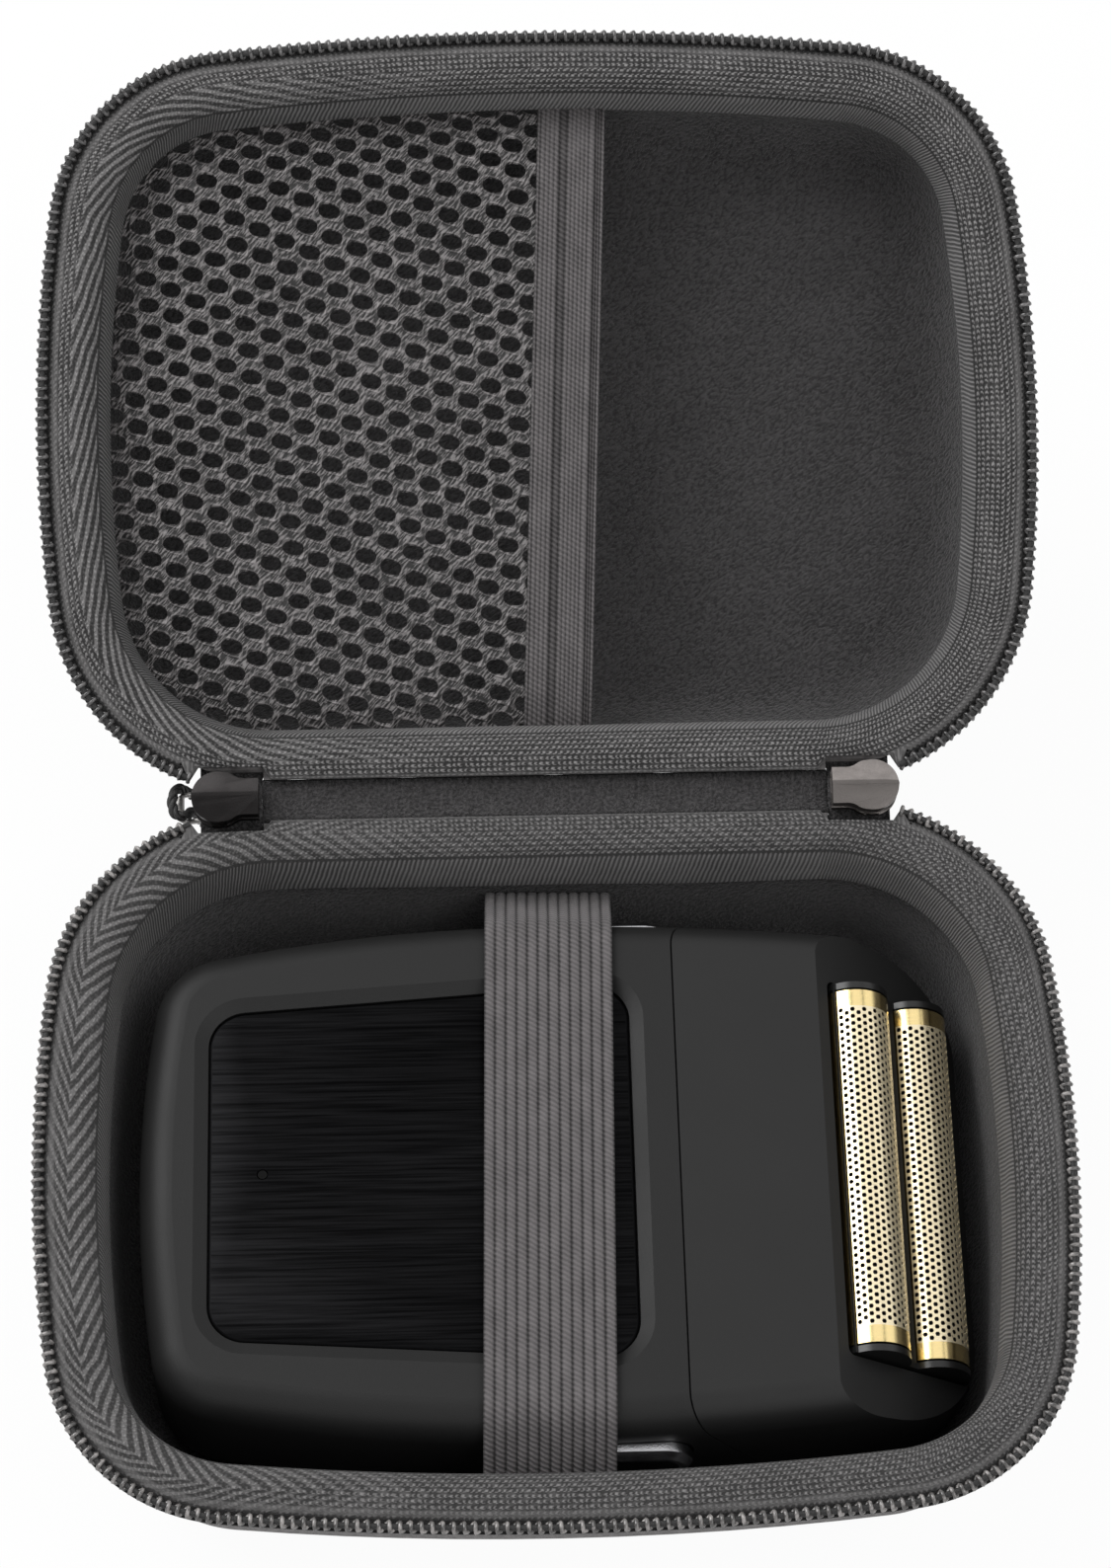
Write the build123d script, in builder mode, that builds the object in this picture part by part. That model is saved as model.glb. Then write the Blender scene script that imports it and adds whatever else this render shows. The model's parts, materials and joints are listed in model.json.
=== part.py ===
from build123d import *
import os
from math import cos, radians, sin, tan

os.makedirs("parts", exist_ok=True)

# Hard zip case for a foil shaver, shown open with the shaver strapped into its base.
# Frame: X across the case, +Y towards the hinge, +Z up. The origin is the centre of the
# flat underside that the base rests on. Sizes are millimetres, angles are degrees.

# ---- Case: outline at the outer edge of the zip teeth --------------------------------
case_width = 136.0
case_span = 104.0            # front of the zip to the hinge axis
side_bulge = 5.9             # how far each short side bows out
front_bulge = 4.6
front_corner = 25.5          # corner radii of the outline
rear_corner = 30.0
base_height = 34.0           # underside to the parting plane
lid_height = 24.0
lid_open = 154.0             # from closed to the zip's end stops

# ---- Case: moulded shells and felt linings -------------------------------------------
shell_inset = 2.7            # teeth edge to the outer wall
shell_drop = 1.75            # parting plane to the shell's rim
shell_wall = 4.0
shell_floor = 4.0
outer_draft = 12.0
inner_draft = 8.0
outer_floor_radius = 14.0
inner_floor_radius = 10.0
lining_gap = 0.1
lining_thick = 0.8
lining_drop = 2.3

# ---- Case: zip -----------------------------------------------------------------------
coil_radius = 0.95
coil_inset = 1.0
coil_drop = 1.05
tape_inset = 2.1             # teeth edge to the outer edge of the tape
tape_drop = 1.0
tape_thick = 0.6
skirt_inset = 9.0            # inner face of the tape's folded skirt
skirt_drop = 8.0            # lower edge of the skirt

# ---- Case: zip sliders and pulls -----------------------------------------------------
slider_start = 38.6          # narrow end, from the case's centre plane
slider_length = 9.0
slider_half = 3.4            # half the width at the shoulders
slider_tail_half = 2.5       # half the width at the narrow end
slider_neck = 2.0
slider_shoulder = 4.7
slider_plate = 0.8
slider_channel = 2.3         # clear height between the two plates
slider_lip = 0.7
bridge_start = 2.0           # pull bridge on the outer plate
bridge_end = 7.5
bridge_height = 2.2
bridge_wall = 0.8
bridge_half = 0.9
bay_radius = 4.5             # room round the hinge axis in which a slider turns
bay_margin = 0.6
pull_pivot = 5.5             # slider's narrow end to the pull's cross bar
pull_depth = 2.7             # zip plane to the cross bar
pull_thick = 0.9
right_pull_length = 15.0
right_pull_half = 2.2
right_window = 3.4
right_window_half = 1.3
left_pull_length = 6.4
left_pull_half = 2.2
left_window = 4.55
left_window_half = 1.6
left_pull_angle = 75.0       # from hanging, towards the slider's nose

# ---- Case: cord loop on the left pull ------------------------------------------------
cord_diameter = 1.5
cord_route = [
    (-44.7, 57.0, 17.0),
    (-44.7, 57.0, 20.0),
    (-47.2, 56.7, 25.64),
    (-49.2, 55.96, 30.19),
    (-49.9, 54.88, 32.2),
    (-50.5, 52.89, 32.36),
    (-50.0, 50.8, 31.95),
    (-48.45, 51.0, 31.4),
    (-47.75, 52.85, 29.89),
    (-46.4, 53.1, 24.81),
    (-44.7, 54.4, 19.8),
    (-44.7, 54.4, 17.0),
]
grip_top = 16.85
grip_length = 10.5
grip_width = 5.6
grip_thick = 3.2

# ---- Case: hinge cloth ---------------------------------------------------------------
hinge_half = 38.2            # half the length along the hinge
hinge_strip_thick = 0.6
hinge_strip_half = 3.2
hinge_strip_edge = 2.0       # depth below the axis at its sewn edges
hinge_strip_sag = 2.9        # depth at its middle
hinge_lining_thick = 0.5
hinge_lining_half = 2.85
hinge_lining_edge = 1.2
hinge_lining_sag = 1.8

# ---- Case: mesh pocket in the lid, strap in the base ---------------------------------
pocket_drop = 5.5
pocket_inset = 10.0
mesh_thick = 0.5
mesh_gap = 0.05
band_width = 9.2
band_thick = 1.3
band_offset = 3.75           # band's middle, right of the lid's centre
band_skew = 2.4
strap_width = 17.0
strap_thick = 1.0
strap_offset = -0.85
strap_skew = 1.27
strap_clearance = 0.3
strap_anchor_inset = 9.75
strap_anchor_drop = 11.0
strap_bend = 5.3

# ---- Shaver: outline seen from its face, tail at x = 0 -------------------------------
shaver_tail = -54.4          # tail end and centre line in the case's frame
shaver_centre = -0.8
shaver_clearance = 0.2       # back of the shaver to the felt
shaver_thick = 25.0
tail_half = 31.0
tail_bow = 3.0
body_half = 36.5
body_widest = 52.0
head_shoulder = 98.0
head_shoulder_half = 33.6
head_length = 108.9
head_half = 31.2
tail_corner = 10.0
head_corner = 13.0
face_radius = 4.5
back_radius = 7.5
shaver_wall = 2.2
shell_split = 10.0           # joint between front and back shells
neck_at_face = 70.6          # joint between body and head
neck_lean = 30.0
joint_gap = 0.1

# ---- Shaver: face plate, lamp and buttons --------------------------------------------
plate_start = 9.2
plate_end = 64.6
plate_start_half = 22.9
plate_end_half = 26.6
plate_corner = 5.0
plate_thick = 0.9
plate_sink = 0.8             # face of the shaver to the top of the plate
plate_slope = 1.8            # width of the slope round the recess
plate_gap = 0.1              # under the plate
plate_clearance = 0.15
lamp_place = 16.2
lamp_radius = 0.6
power_place = 53.5
power_radius = 6.0
power_flange = 7.2
power_flange_thick = 1.1
button_clearance = 0.3
release_place = 61.0
release_level = 15.5
release_length = 20.0
release_height = 8.0
release_proud = 1.8
release_flange = 1.1
release_margin = 0.8         # flange beyond the capsule
release_travel = 1.0
spring_radius = 1.8
release_spring_length = 3.0
release_rib_drop = 5.8       # wall's inner face to the middle of the rib

# ---- Shaver: foil head ---------------------------------------------------------------
foil_edge = 91.2             # where the sloping foil deck meets the face
foil_edge_drop = 1.1
foil_slope = 38.0
foil_radius = 4.7
foil_sink = 1.2              # arch centre below the deck
foil_thick = 0.25
foil_half = 25.0
foil_skirt = 2.6
foil_first = 5.6
foil_pitch = 10.4
foil_last = 5.2              # second arch to the end of the window
cassette_margin = 0.8
cassette_half = 26.2
cassette_depth = 4.2
cassette_lip = 0.5
window_corner = 1.0
cutter_gap = 0.2
cutter_half = 22.0
cutter_core = 2.4
blade_thick = 0.5
blade_count = 22
post_radius = 1.0
post_pocket = 2.4
post_engagement = 0.9
post_clearance = 0.2
post_slide = 0.6
yoke_gap = 0.3
yoke_thick = 1.4

# ---- Shaver: inside ------------------------------------------------------------------
inner_clearance = 0.3
motor_start = 42.0
motor_length = 23.0
motor_radius = 8.0
motor_boss = 3.0
battery_start = 17.0
battery_length = 44.0
battery_radius = 7.0
battery_offset = -20.5
board_start = 24.0
board_end = 62.0
board_half = 14.0
board_thick = 1.2
board_drop = 4.5             # face to the top of the board
board_posts = [(27.0, 11.0), (27.0, -11.0), (59.0, 11.0), (59.0, -11.0)]
post_width = 1.2
socket_level = 6.2           # back of the shaver to the socket's axis
socket_start = 3.9
socket_length = 7.0
socket_width = 10.0
socket_height = 4.4
port_width = 9.0
port_height = 3.2
port_depth = 6.0
screw_radius = 1.25
screw_head = 2.2
screw_head_thick = 1.3
screw_gap = 0.05
boss_radius = 3.0
screw_places = [(12.0, 25.0), (12.0, -25.0), (67.0, 24.5), (67.0, -24.5)]

# ---- Frames --------------------------------------------------------------------------
lid_rise = 180.0 - lid_open
hinge_origin = Vector(0, case_span / 2, base_height)
far_way = Vector(0, cos(radians(lid_rise)), sin(radians(lid_rise)))

# Both halves are drawn in the same way: local +Y runs to the hinge, local Z = 0 is the
# parting plane and the hollow lies below it.
base_frame = Plane(origin=(0, 0, base_height), x_dir=(1, 0, 0), z_dir=(0, 0, 1))
lid_frame = Plane(
    origin=hinge_origin + far_way * (case_span / 2),
    x_dir=(-1, 0, 0),
    z_dir=(0, -sin(radians(lid_rise)), cos(radians(lid_rise))),
)
# The hinge frame halves the angle between the two rims, as a slider on both tapes does.
hinge_frame = Plane(
    origin=hinge_origin,
    x_dir=(1, 0, 0),
    z_dir=(0, -sin(radians(lid_rise / 2)), cos(radians(lid_rise / 2))),
)
felt_top = shell_floor + lining_gap + lining_thick
shaver_frame = Plane(
    origin=(shaver_tail, shaver_centre, felt_top + shaver_clearance),
    x_dir=(1, 0, 0),
    z_dir=(0, 0, 1),
)


def place_in(frame, x, y, z):
    """A plane parallel to frame with its origin at a local point."""
    return Plane(origin=frame.from_local_coords((x, y, z)), x_dir=frame.x_dir, z_dir=frame.z_dir)


def turned(frame, angle):
    """The frame turned about its own Z axis."""
    way = frame.x_dir * cos(radians(angle)) + frame.y_dir * sin(radians(angle))
    return Plane(origin=frame.origin, x_dir=way, z_dir=frame.z_dir)


def across(frame, x=0.0):
    """Section plane at a local x: its own axes are the frame's Y and Z."""
    return Plane(origin=frame.from_local_coords((x, 0, 0)), x_dir=frame.y_dir, z_dir=frame.x_dir)


def along(frame, y=0.0):
    """Section plane at a local y: its own axes are the frame's X and Z."""
    return Plane(origin=frame.from_local_coords((0, y, 0)), x_dir=frame.x_dir, z_dir=-frame.y_dir)


# ---- Case halves ---------------------------------------------------------------------
def rim_area(frame, drop, inset):
    """The case outline as a face, inset from the zip teeth and drop below the parting plane."""
    half = case_width / 2 - side_bulge
    front = front_bulge - case_span / 2
    rear = case_span / 2
    middle = (front + rear) / 2
    with BuildSketch(frame.offset(-drop), mode=Mode.PRIVATE) as area:
        with BuildLine():
            ThreePointArc((-half, front), (0, -case_span / 2), (half, front))
            ThreePointArc((half, front), (case_width / 2, middle), (half, rear))
            Line((half, rear), (-half, rear))
            ThreePointArc((-half, rear), (-case_width / 2, middle), (-half, front))
        make_face()
        corners = area.vertices().group_by(Axis.Y)
        fillet(corners[0], front_corner)
        fillet(area.vertices().group_by(Axis.Y)[-1], rear_corner)
        offset(amount=-inset)
    return area.sketch


def bowl(frame, inset, rim_drop, floor_drop, draft, floor_radius):
    """Solid filling of a case half: drafted wall, rounded into a flat floor."""
    with BuildPart(mode=Mode.PRIVATE) as filling:
        extrude(
            to_extrude=rim_area(frame, rim_drop, inset),
            amount=floor_drop - rim_drop,
            dir=-frame.z_dir,
            taper=draft,
        )
        floor = filling.faces().sort_by(Axis(frame.origin, frame.z_dir))[0]
        fillet(floor.edges(), floor_radius)
    return filling.part


def slider_bays(frame):
    """Round bays on the hinge axis, where the sliders turn as the lid moves."""
    bay_length = slider_length + 2 * bay_margin
    with BuildPart(mode=Mode.PRIVATE) as bays:
        for side in (-1, 1):
            start = side * (slider_start - bay_margin)
            with BuildSketch(across(frame, start)):
                with Locations((case_span / 2, 0)):
                    Circle(bay_radius)
            extrude(amount=side * bay_length)
    return bays.part


def case_shell(frame, height):
    """Moulded shell of one half."""
    with BuildPart() as shell:
        add(bowl(frame, shell_inset, shell_drop, height, outer_draft, outer_floor_radius))
        hollow = bowl(
            frame,
            shell_inset + shell_wall,
            shell_drop,
            height - shell_floor,
            inner_draft,
            inner_floor_radius,
        )
        add(hollow, mode=Mode.SUBTRACT)
        add(slider_bays(frame), mode=Mode.SUBTRACT)
    return shell


def case_lining(frame, height):
    """Felt skin inside one shell."""
    wall_shift = (lining_drop - shell_drop) * tan(radians(inner_draft))
    outer_inset = shell_inset + shell_wall + lining_gap + wall_shift
    floor_drop = height - shell_floor - lining_gap
    with BuildPart() as lining:
        add(bowl(frame, outer_inset, lining_drop, floor_drop, inner_draft, inner_floor_radius))
        hollow = bowl(
            frame,
            outer_inset + lining_thick,
            lining_drop,
            floor_drop - lining_thick,
            inner_draft,
            inner_floor_radius - lining_thick,
        )
        add(hollow, mode=Mode.SUBTRACT)
    return lining


def zip_tape(frame):
    """Woven tape lying on a rim, with a skirt folded down inside it."""
    down = -frame.z_dir
    slider_end = slider_start + slider_length
    with BuildPart() as tape:
        depth = skirt_drop - tape_drop
        extrude(to_extrude=rim_area(frame, tape_drop, tape_inset), amount=tape_thick, dir=down)
        skirt = rim_area(frame, tape_drop, skirt_inset - tape_thick)
        extrude(to_extrude=skirt, amount=depth, dir=down, taper=inner_draft)
        opening = rim_area(frame, tape_drop, skirt_inset)
        extrude(
            to_extrude=opening, amount=depth, dir=down, taper=inner_draft, mode=Mode.SUBTRACT
        )
        # Between the sliders there are no teeth, so the tape stops at the shell's wall.
        with BuildSketch(frame):
            with Locations((0, case_span / 2)):
                Rectangle(2 * slider_end, 2 * shell_inset)
        extrude(amount=-skirt_drop, mode=Mode.SUBTRACT)
        add(slider_bays(frame), mode=Mode.SUBTRACT)
    return tape


def zip_coil(frame):
    """Coil teeth as one bead round the rim, open between the sliders."""
    path = rim_area(frame, coil_drop, coil_inset).face().outer_wire()
    slider_end = slider_start + slider_length
    with BuildPart() as coil:
        with BuildSketch(Plane(origin=path @ 0, z_dir=path % 0)):
            Circle(coil_radius)
        sweep(path=path)
        with BuildSketch(frame):
            with Locations((0, case_span / 2)):
                Rectangle(2 * (slider_end + bay_margin), 2 * bay_radius + 2 * shell_inset)
        extrude(amount=2 * coil_drop, both=True, mode=Mode.SUBTRACT)
    return coil


base_shell = case_shell(base_frame, base_height)
base_shell.part.label = "base_shell"
export_step(base_shell.part, "parts/base_shell.step")

base_lining = case_lining(base_frame, base_height)
base_lining.part.label = "base_lining"
export_step(base_lining.part, "parts/base_lining.step")

base_zip_tape = zip_tape(base_frame)
base_zip_tape.part.label = "base_zip_tape"
export_step(base_zip_tape.part, "parts/base_zip_tape.step")

base_zip_coil = zip_coil(base_frame)
base_zip_coil.part.label = "base_zip_coil"
export_step(base_zip_coil.part, "parts/base_zip_coil.step")

lid_shell = case_shell(lid_frame, lid_height)
lid_shell.part.label = "lid_shell"
export_step(lid_shell.part, "parts/lid_shell.step")

lid_lining = case_lining(lid_frame, lid_height)
lid_lining.part.label = "lid_lining"
export_step(lid_lining.part, "parts/lid_lining.step")

lid_zip_tape = zip_tape(lid_frame)
lid_zip_tape.part.label = "lid_zip_tape"
export_step(lid_zip_tape.part, "parts/lid_zip_tape.step")

lid_zip_coil = zip_coil(lid_frame)
lid_zip_coil.part.label = "lid_zip_coil"
export_step(lid_zip_coil.part, "parts/lid_zip_coil.step")


# ---- Hinge cloth ---------------------------------------------------------------------
def hinge_cloth(half, edge_depth, sag_depth, thick):
    """A strip of cloth along the hinge, hanging in a shallow arc between the two rims."""
    with BuildPart() as cloth:
        with BuildSketch(across(hinge_frame, -hinge_half)):
            with BuildLine() as arc:
                ThreePointArc((-half, -edge_depth), (0, -sag_depth), (half, -edge_depth))
            trace(lines=arc.edges(), line_width=thick)
        extrude(amount=2 * hinge_half)
    return cloth


hinge_strip = hinge_cloth(
    hinge_strip_half, hinge_strip_edge, hinge_strip_sag, hinge_strip_thick
)
hinge_strip.part.label = "hinge_strip"
export_step(hinge_strip.part, "parts/hinge_strip.step")

hinge_lining = hinge_cloth(
    hinge_lining_half, hinge_lining_edge, hinge_lining_sag, hinge_lining_thick
)
hinge_lining.part.label = "hinge_lining"
export_step(hinge_lining.part, "parts/hinge_lining.step")


# ---- Mesh pocket ---------------------------------------------------------------------
# Local +X of the lid frame points to the case's left, where the pocket is sewn down. The
# pocket's free edge is bound by an elastic band that runs from the front to the hinge.
band_frame = turned(place_in(lid_frame, -band_offset, 0, -pocket_drop), -band_skew)

with BuildPart() as mesh_pocket:
    sheet = rim_area(lid_frame, pocket_drop, pocket_inset)
    extrude(to_extrude=sheet, amount=mesh_thick, dir=-lid_frame.z_dir)
    with BuildSketch(band_frame):
        with Locations((band_width / 2 + mesh_gap, 0)):
            Rectangle(2 * case_width, 2 * case_span, align=(Align.MAX, Align.CENTER))
    extrude(amount=band_thick, both=True, mode=Mode.SUBTRACT)
mesh_pocket.part.label = "mesh_pocket"
export_step(mesh_pocket.part, "parts/mesh_pocket.step")

with BuildPart() as mesh_band:
    sheet = rim_area(lid_frame, pocket_drop - band_thick / 2, pocket_inset)
    extrude(to_extrude=sheet, amount=band_thick, dir=-lid_frame.z_dir)
    with BuildSketch(band_frame):
        Rectangle(band_width, 2 * case_span)
    extrude(amount=2 * band_thick, both=True, mode=Mode.INTERSECT)
mesh_band.part.label = "mesh_band"
export_step(mesh_band.part, "parts/mesh_band.step")

# ---- Elastic strap over the shaver ---------------------------------------------------
face_level = felt_top + shaver_clearance + shaver_thick
strap_level = face_level + strap_clearance + strap_thick / 2 - base_height
anchor_reach = case_span / 2 - strap_anchor_inset
bend_reach = body_half - face_radius + strap_bend * tan(radians(22.5))
strap_frame = turned(place_in(base_frame, strap_offset, 0, 0), -strap_skew)

with BuildPart() as shaver_strap:
    with BuildSketch(across(strap_frame, -strap_width / 2)):
        with BuildLine() as strap_line:
            FilletPolyline(
                (-anchor_reach, -strap_anchor_drop),
                (shaver_centre - bend_reach, strap_level),
                (shaver_centre + bend_reach, strap_level),
                (anchor_reach, -strap_anchor_drop),
                radius=strap_bend,
            )
        trace(lines=strap_line.edges(), line_width=strap_thick)
    extrude(amount=strap_width)
shaver_strap.part.label = "shaver_strap"
export_step(shaver_strap.part, "parts/shaver_strap.step")


# ---- Zip sliders ---------------------------------------------------------------------
def slider_outline(frame, inset=0.0):
    """Plan of a slider plate: square narrow end, S-curved shoulders and a round nose."""
    tail = slider_tail_half - inset
    half = slider_half - inset
    start = slider_start + inset
    neck = slider_start + slider_neck
    shoulder = slider_start + slider_shoulder
    middle = ((neck + shoulder) / 2, (tail + half) / 2)
    nose = slider_start + slider_length - inset
    with BuildSketch(frame, mode=Mode.PRIVATE) as plan:
        with BuildLine():
            Polyline((start, -tail), (start, tail), (neck, tail))
            TangentArc((neck, tail), middle, tangent=(1, 0))
            TangentArc((shoulder, half), middle, tangent=(-1, 0))
            ThreePointArc((shoulder, half), (nose, 0), (shoulder, -half))
            TangentArc((shoulder, -half), (middle[0], -middle[1]), tangent=(-1, 0))
            TangentArc((neck, -tail), (middle[0], -middle[1]), tangent=(1, 0))
            Line((neck, -tail), (start, -tail))
        make_face()
    return plan.sketch


def slider_lips(level):
    """Side lips that keep the coils in the channel, open at the nose and at the tail."""
    with BuildPart(mode=Mode.PRIVATE) as lips:
        extrude(to_extrude=slider_outline(hinge_frame.offset(level)), amount=slider_lip)
        inner = slider_outline(hinge_frame.offset(level), slider_lip)
        extrude(to_extrude=inner, amount=slider_lip, mode=Mode.SUBTRACT)
        with BuildSketch(place_in(hinge_frame, slider_start + slider_length, 0, level)):
            Rectangle(2 * slider_shoulder, 2 * slider_half)
        extrude(amount=slider_lip, mode=Mode.SUBTRACT)
        with BuildSketch(place_in(hinge_frame, slider_start, 0, level)):
            Rectangle(2 * slider_lip, 2 * slider_tail_half - 2 * slider_lip)
        extrude(amount=slider_lip, mode=Mode.SUBTRACT)
    return lips.part


with BuildPart() as right_slider:
    half_channel = slider_channel / 2
    for level in (half_channel, -half_channel - slider_plate):
        extrude(to_extrude=slider_outline(hinge_frame.offset(level)), amount=slider_plate)
    for level in (half_channel - slider_lip, -half_channel):
        add(slider_lips(level))
    # Wedge post that parts the two coils behind the nose.
    post_start = slider_start + slider_length - 2.6
    with BuildSketch(hinge_frame.offset(-half_channel)):
        with BuildLine():
            Polyline((post_start, 0), (post_start + 1.6, 0.9), (post_start + 1.6, -0.9), close=True)
        make_face()
    extrude(amount=slider_channel)
    # Bridge that holds the pull on the outer plate.
    with BuildSketch(along(hinge_frame)):
        outer_level = -half_channel - slider_plate
        middle = slider_start + (bridge_start + bridge_end) / 2
        span = bridge_end - bridge_start
        with Locations((middle, outer_level)):
            Rectangle(span, bridge_height, align=(Align.CENTER, Align.MAX))
            Rectangle(
                span - 2 * bridge_wall,
                bridge_height - bridge_wall,
                align=(Align.CENTER, Align.MAX),
                mode=Mode.SUBTRACT,
            )
    extrude(amount=bridge_half, both=True)
right_slider.part.label = "right_slider"
export_step(right_slider.part, "parts/right_slider.step")

with BuildPart() as left_slider:
    mirror(objects=right_slider.part, about=Plane.YZ)
left_slider.part.label = "left_slider"
export_step(left_slider.part, "parts/left_slider.step")


# ---- Pulls ---------------------------------------------------------------------------
def pull_frame(side, angle):
    """Frame on a pull's cross bar: local X along the bar, local Y down the tab."""
    bar = hinge_frame.from_local_coords((side * (slider_start + pull_pivot), 0, -pull_depth))
    outward = hinge_frame.x_dir * (side * sin(radians(angle)))
    tab_way = outward - hinge_frame.z_dir * cos(radians(angle))
    return Plane(origin=bar, x_dir=hinge_frame.y_dir, z_dir=hinge_frame.y_dir.cross(tab_way))


def pull_tab(side, angle, length, half, window, window_half):
    """Stamped pull: a cross bar under the bridge, a window round it and a rounded end."""
    with BuildPart() as tab:
        with BuildSketch(pull_frame(side, angle)):
            with BuildLine():
                start = -pull_thick / 2
                straight = length - half * 0.8
                Line((-half, straight), (-half, start))
                Line((-half, start), (half, start))
                Line((half, start), (half, straight))
                ThreePointArc((half, straight), (0, length), (-half, straight))
            make_face()
            with Locations((0, pull_thick / 2 + window / 2)):
                Rectangle(2 * window_half, window, mode=Mode.SUBTRACT)
        extrude(amount=pull_thick / 2, both=True)
    return tab


right_pull = pull_tab(
    1, 0.0, right_pull_length, right_pull_half, right_window, right_window_half
)
right_pull.part.label = "right_pull"
export_step(right_pull.part, "parts/right_pull.step")

left_pull = pull_tab(
    -1, left_pull_angle, left_pull_length, left_pull_half, left_window, left_window_half
)
left_pull.part.label = "left_pull"
export_step(left_pull.part, "parts/left_pull.step")


# ---- Cord loop and its moulded grip --------------------------------------------------
def arc_radii(route):
    """Bend radii of a cord: as large as the shorter run beside each corner allows."""
    radii = []
    for before, corner, after in zip(route, route[1:], route[2:]):
        run_in = Vector(corner) - Vector(before)
        run_out = Vector(after) - Vector(corner)
        turn = radians(run_in.get_angle(run_out))
        radii.append(0.45 * min(run_in.length, run_out.length) / tan(turn / 2))
    return radii


cord_radii = arc_radii(cord_route)
print("cord bend radii:", [round(radius, 2) for radius in cord_radii])

with BuildPart() as left_pull_cord:
    with BuildLine() as cord_line:
        FilletPolyline(*cord_route, radius=cord_radii)
    cord_path = cord_line.wire()
    with BuildSketch(Plane(origin=cord_path @ 0, z_dir=cord_path % 0)):
        Circle(cord_diameter / 2)
    sweep(path=cord_path)
left_pull_cord.part.label = "left_pull_cord"
export_step(left_pull_cord.part, "parts/left_pull_cord.step")
print("cord length:", round(cord_path.length, 1))

with BuildPart() as left_pull_grip:
    grip_x = (cord_route[0][0] + cord_route[-1][0]) / 2
    grip_y = (cord_route[0][1] + cord_route[-1][1]) / 2
    with BuildSketch(Plane(origin=(grip_x, grip_y, grip_top), z_dir=(0, 0, 1))):
        RectangleRounded(grip_thick, grip_width * 0.8, grip_thick * 0.35)
    with BuildSketch(Plane(origin=(grip_x, grip_y, grip_top - grip_length), z_dir=(0, 0, 1))):
        RectangleRounded(grip_thick, grip_width, grip_thick * 0.35)
    loft()
    fillet(left_pull_grip.faces().sort_by(Axis.Z)[0].edges(), grip_thick * 0.2)
left_pull_grip.part.label = "left_pull_grip"
export_step(left_pull_grip.part, "parts/left_pull_grip.step")


# ---- Shaver housing ------------------------------------------------------------------
def shaver_outline(level, inset):
    """Outline of the shaver from its face: bowed tail, bellied sides, narrower head."""
    tail = (tail_bow + inset, tail_half - inset)
    belly = (body_widest, body_half - inset)
    shoulder = (head_shoulder, head_shoulder_half - inset)
    crown = (head_length - inset, head_half - inset)
    with BuildSketch(shaver_frame.offset(level), mode=Mode.PRIVATE) as plan:
        with BuildLine():
            TangentArc(belly, tail, tangent=(-1, 0))
            TangentArc(belly, shoulder, tangent=(1, 0))
            Line(shoulder, crown)
            Line(crown, (crown[0], 0))
            ThreePointArc(tail, (inset + tail_bow / 4, tail[1] / 2), (inset, 0))
            Line((inset, 0), (crown[0], 0))
        make_face()
        mirror(about=Plane.XZ)
        corners = plan.vertices().filter_by(lambda vertex: abs(vertex.Y - shaver_centre) > 1)
        fillet(corners.group_by(Axis.X)[0], tail_corner - inset)
        corners = plan.vertices().filter_by(lambda vertex: abs(vertex.Y - shaver_centre) > 1)
        fillet(corners.group_by(Axis.X)[-1], head_corner - inset)
    return plan.sketch


def shaver_blank(inset):
    """The whole shaver as one rounded block, set in on every side."""
    with BuildPart(mode=Mode.PRIVATE) as blank:
        height = shaver_thick - 2 * inset
        extrude(to_extrude=shaver_outline(inset, inset), amount=height)
        faces = blank.faces().sort_by(Axis.Z)
        fillet(faces[-1].edges(), face_radius - inset)
        faces = blank.faces().sort_by(Axis.Z)
        fillet(faces[0].edges(), back_radius - inset)
    return blank.part


def neck_plane(shift):
    """The leaning joint between body and head, moved towards the head by shift."""
    lean = radians(neck_lean)
    origin = shaver_frame.from_local_coords((neck_at_face, 0, shaver_thick))
    way = shaver_frame.x_dir * cos(lean) + shaver_frame.z_dir * sin(lean)
    return Plane(origin=origin + way * shift, x_dir=shaver_frame.y_dir, z_dir=way)


def body_hollow():
    """Room inside the two body shells."""
    with BuildPart(mode=Mode.PRIVATE) as hollow:
        add(shaver_blank(shaver_wall))
        split(bisect_by=neck_plane(-shaver_wall), keep=Keep.BOTTOM)
    return hollow.part


def screw_columns(radius, low, high):
    """Round columns on the housing screws' axes, between two levels."""
    with BuildPart(mode=Mode.PRIVATE) as columns:
        with BuildSketch(shaver_frame.offset(low)):
            with Locations(*screw_places):
                Circle(radius)
        extrude(amount=high - low)
    return columns.part


def plate_area(level, margin):
    """Face plate outline: a rounded trapezium that widens towards the head."""
    with BuildSketch(shaver_frame.offset(level), mode=Mode.PRIVATE) as area:
        with BuildLine():
            Polyline(
                (plate_start, plate_start_half),
                (plate_end, plate_end_half),
                (plate_end, -plate_end_half),
                (plate_start, -plate_start_half),
                close=True,
            )
        make_face()
        fillet(area.vertices(), plate_corner)
        if margin:
            offset(amount=margin)
    return area.sketch


def release_button(side, outline_gap, low, high):
    """Capsule of a side release button between two distances from the centre line."""
    with BuildPart(mode=Mode.PRIVATE) as capsule:
        with BuildSketch(along(shaver_frame, side * low)):
            with Locations((release_place, release_level)):
                SlotOverall(release_length + 2 * outline_gap, release_height + 2 * outline_gap)
        extrude(amount=-side * (high - low))
    return capsule.part


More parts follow.
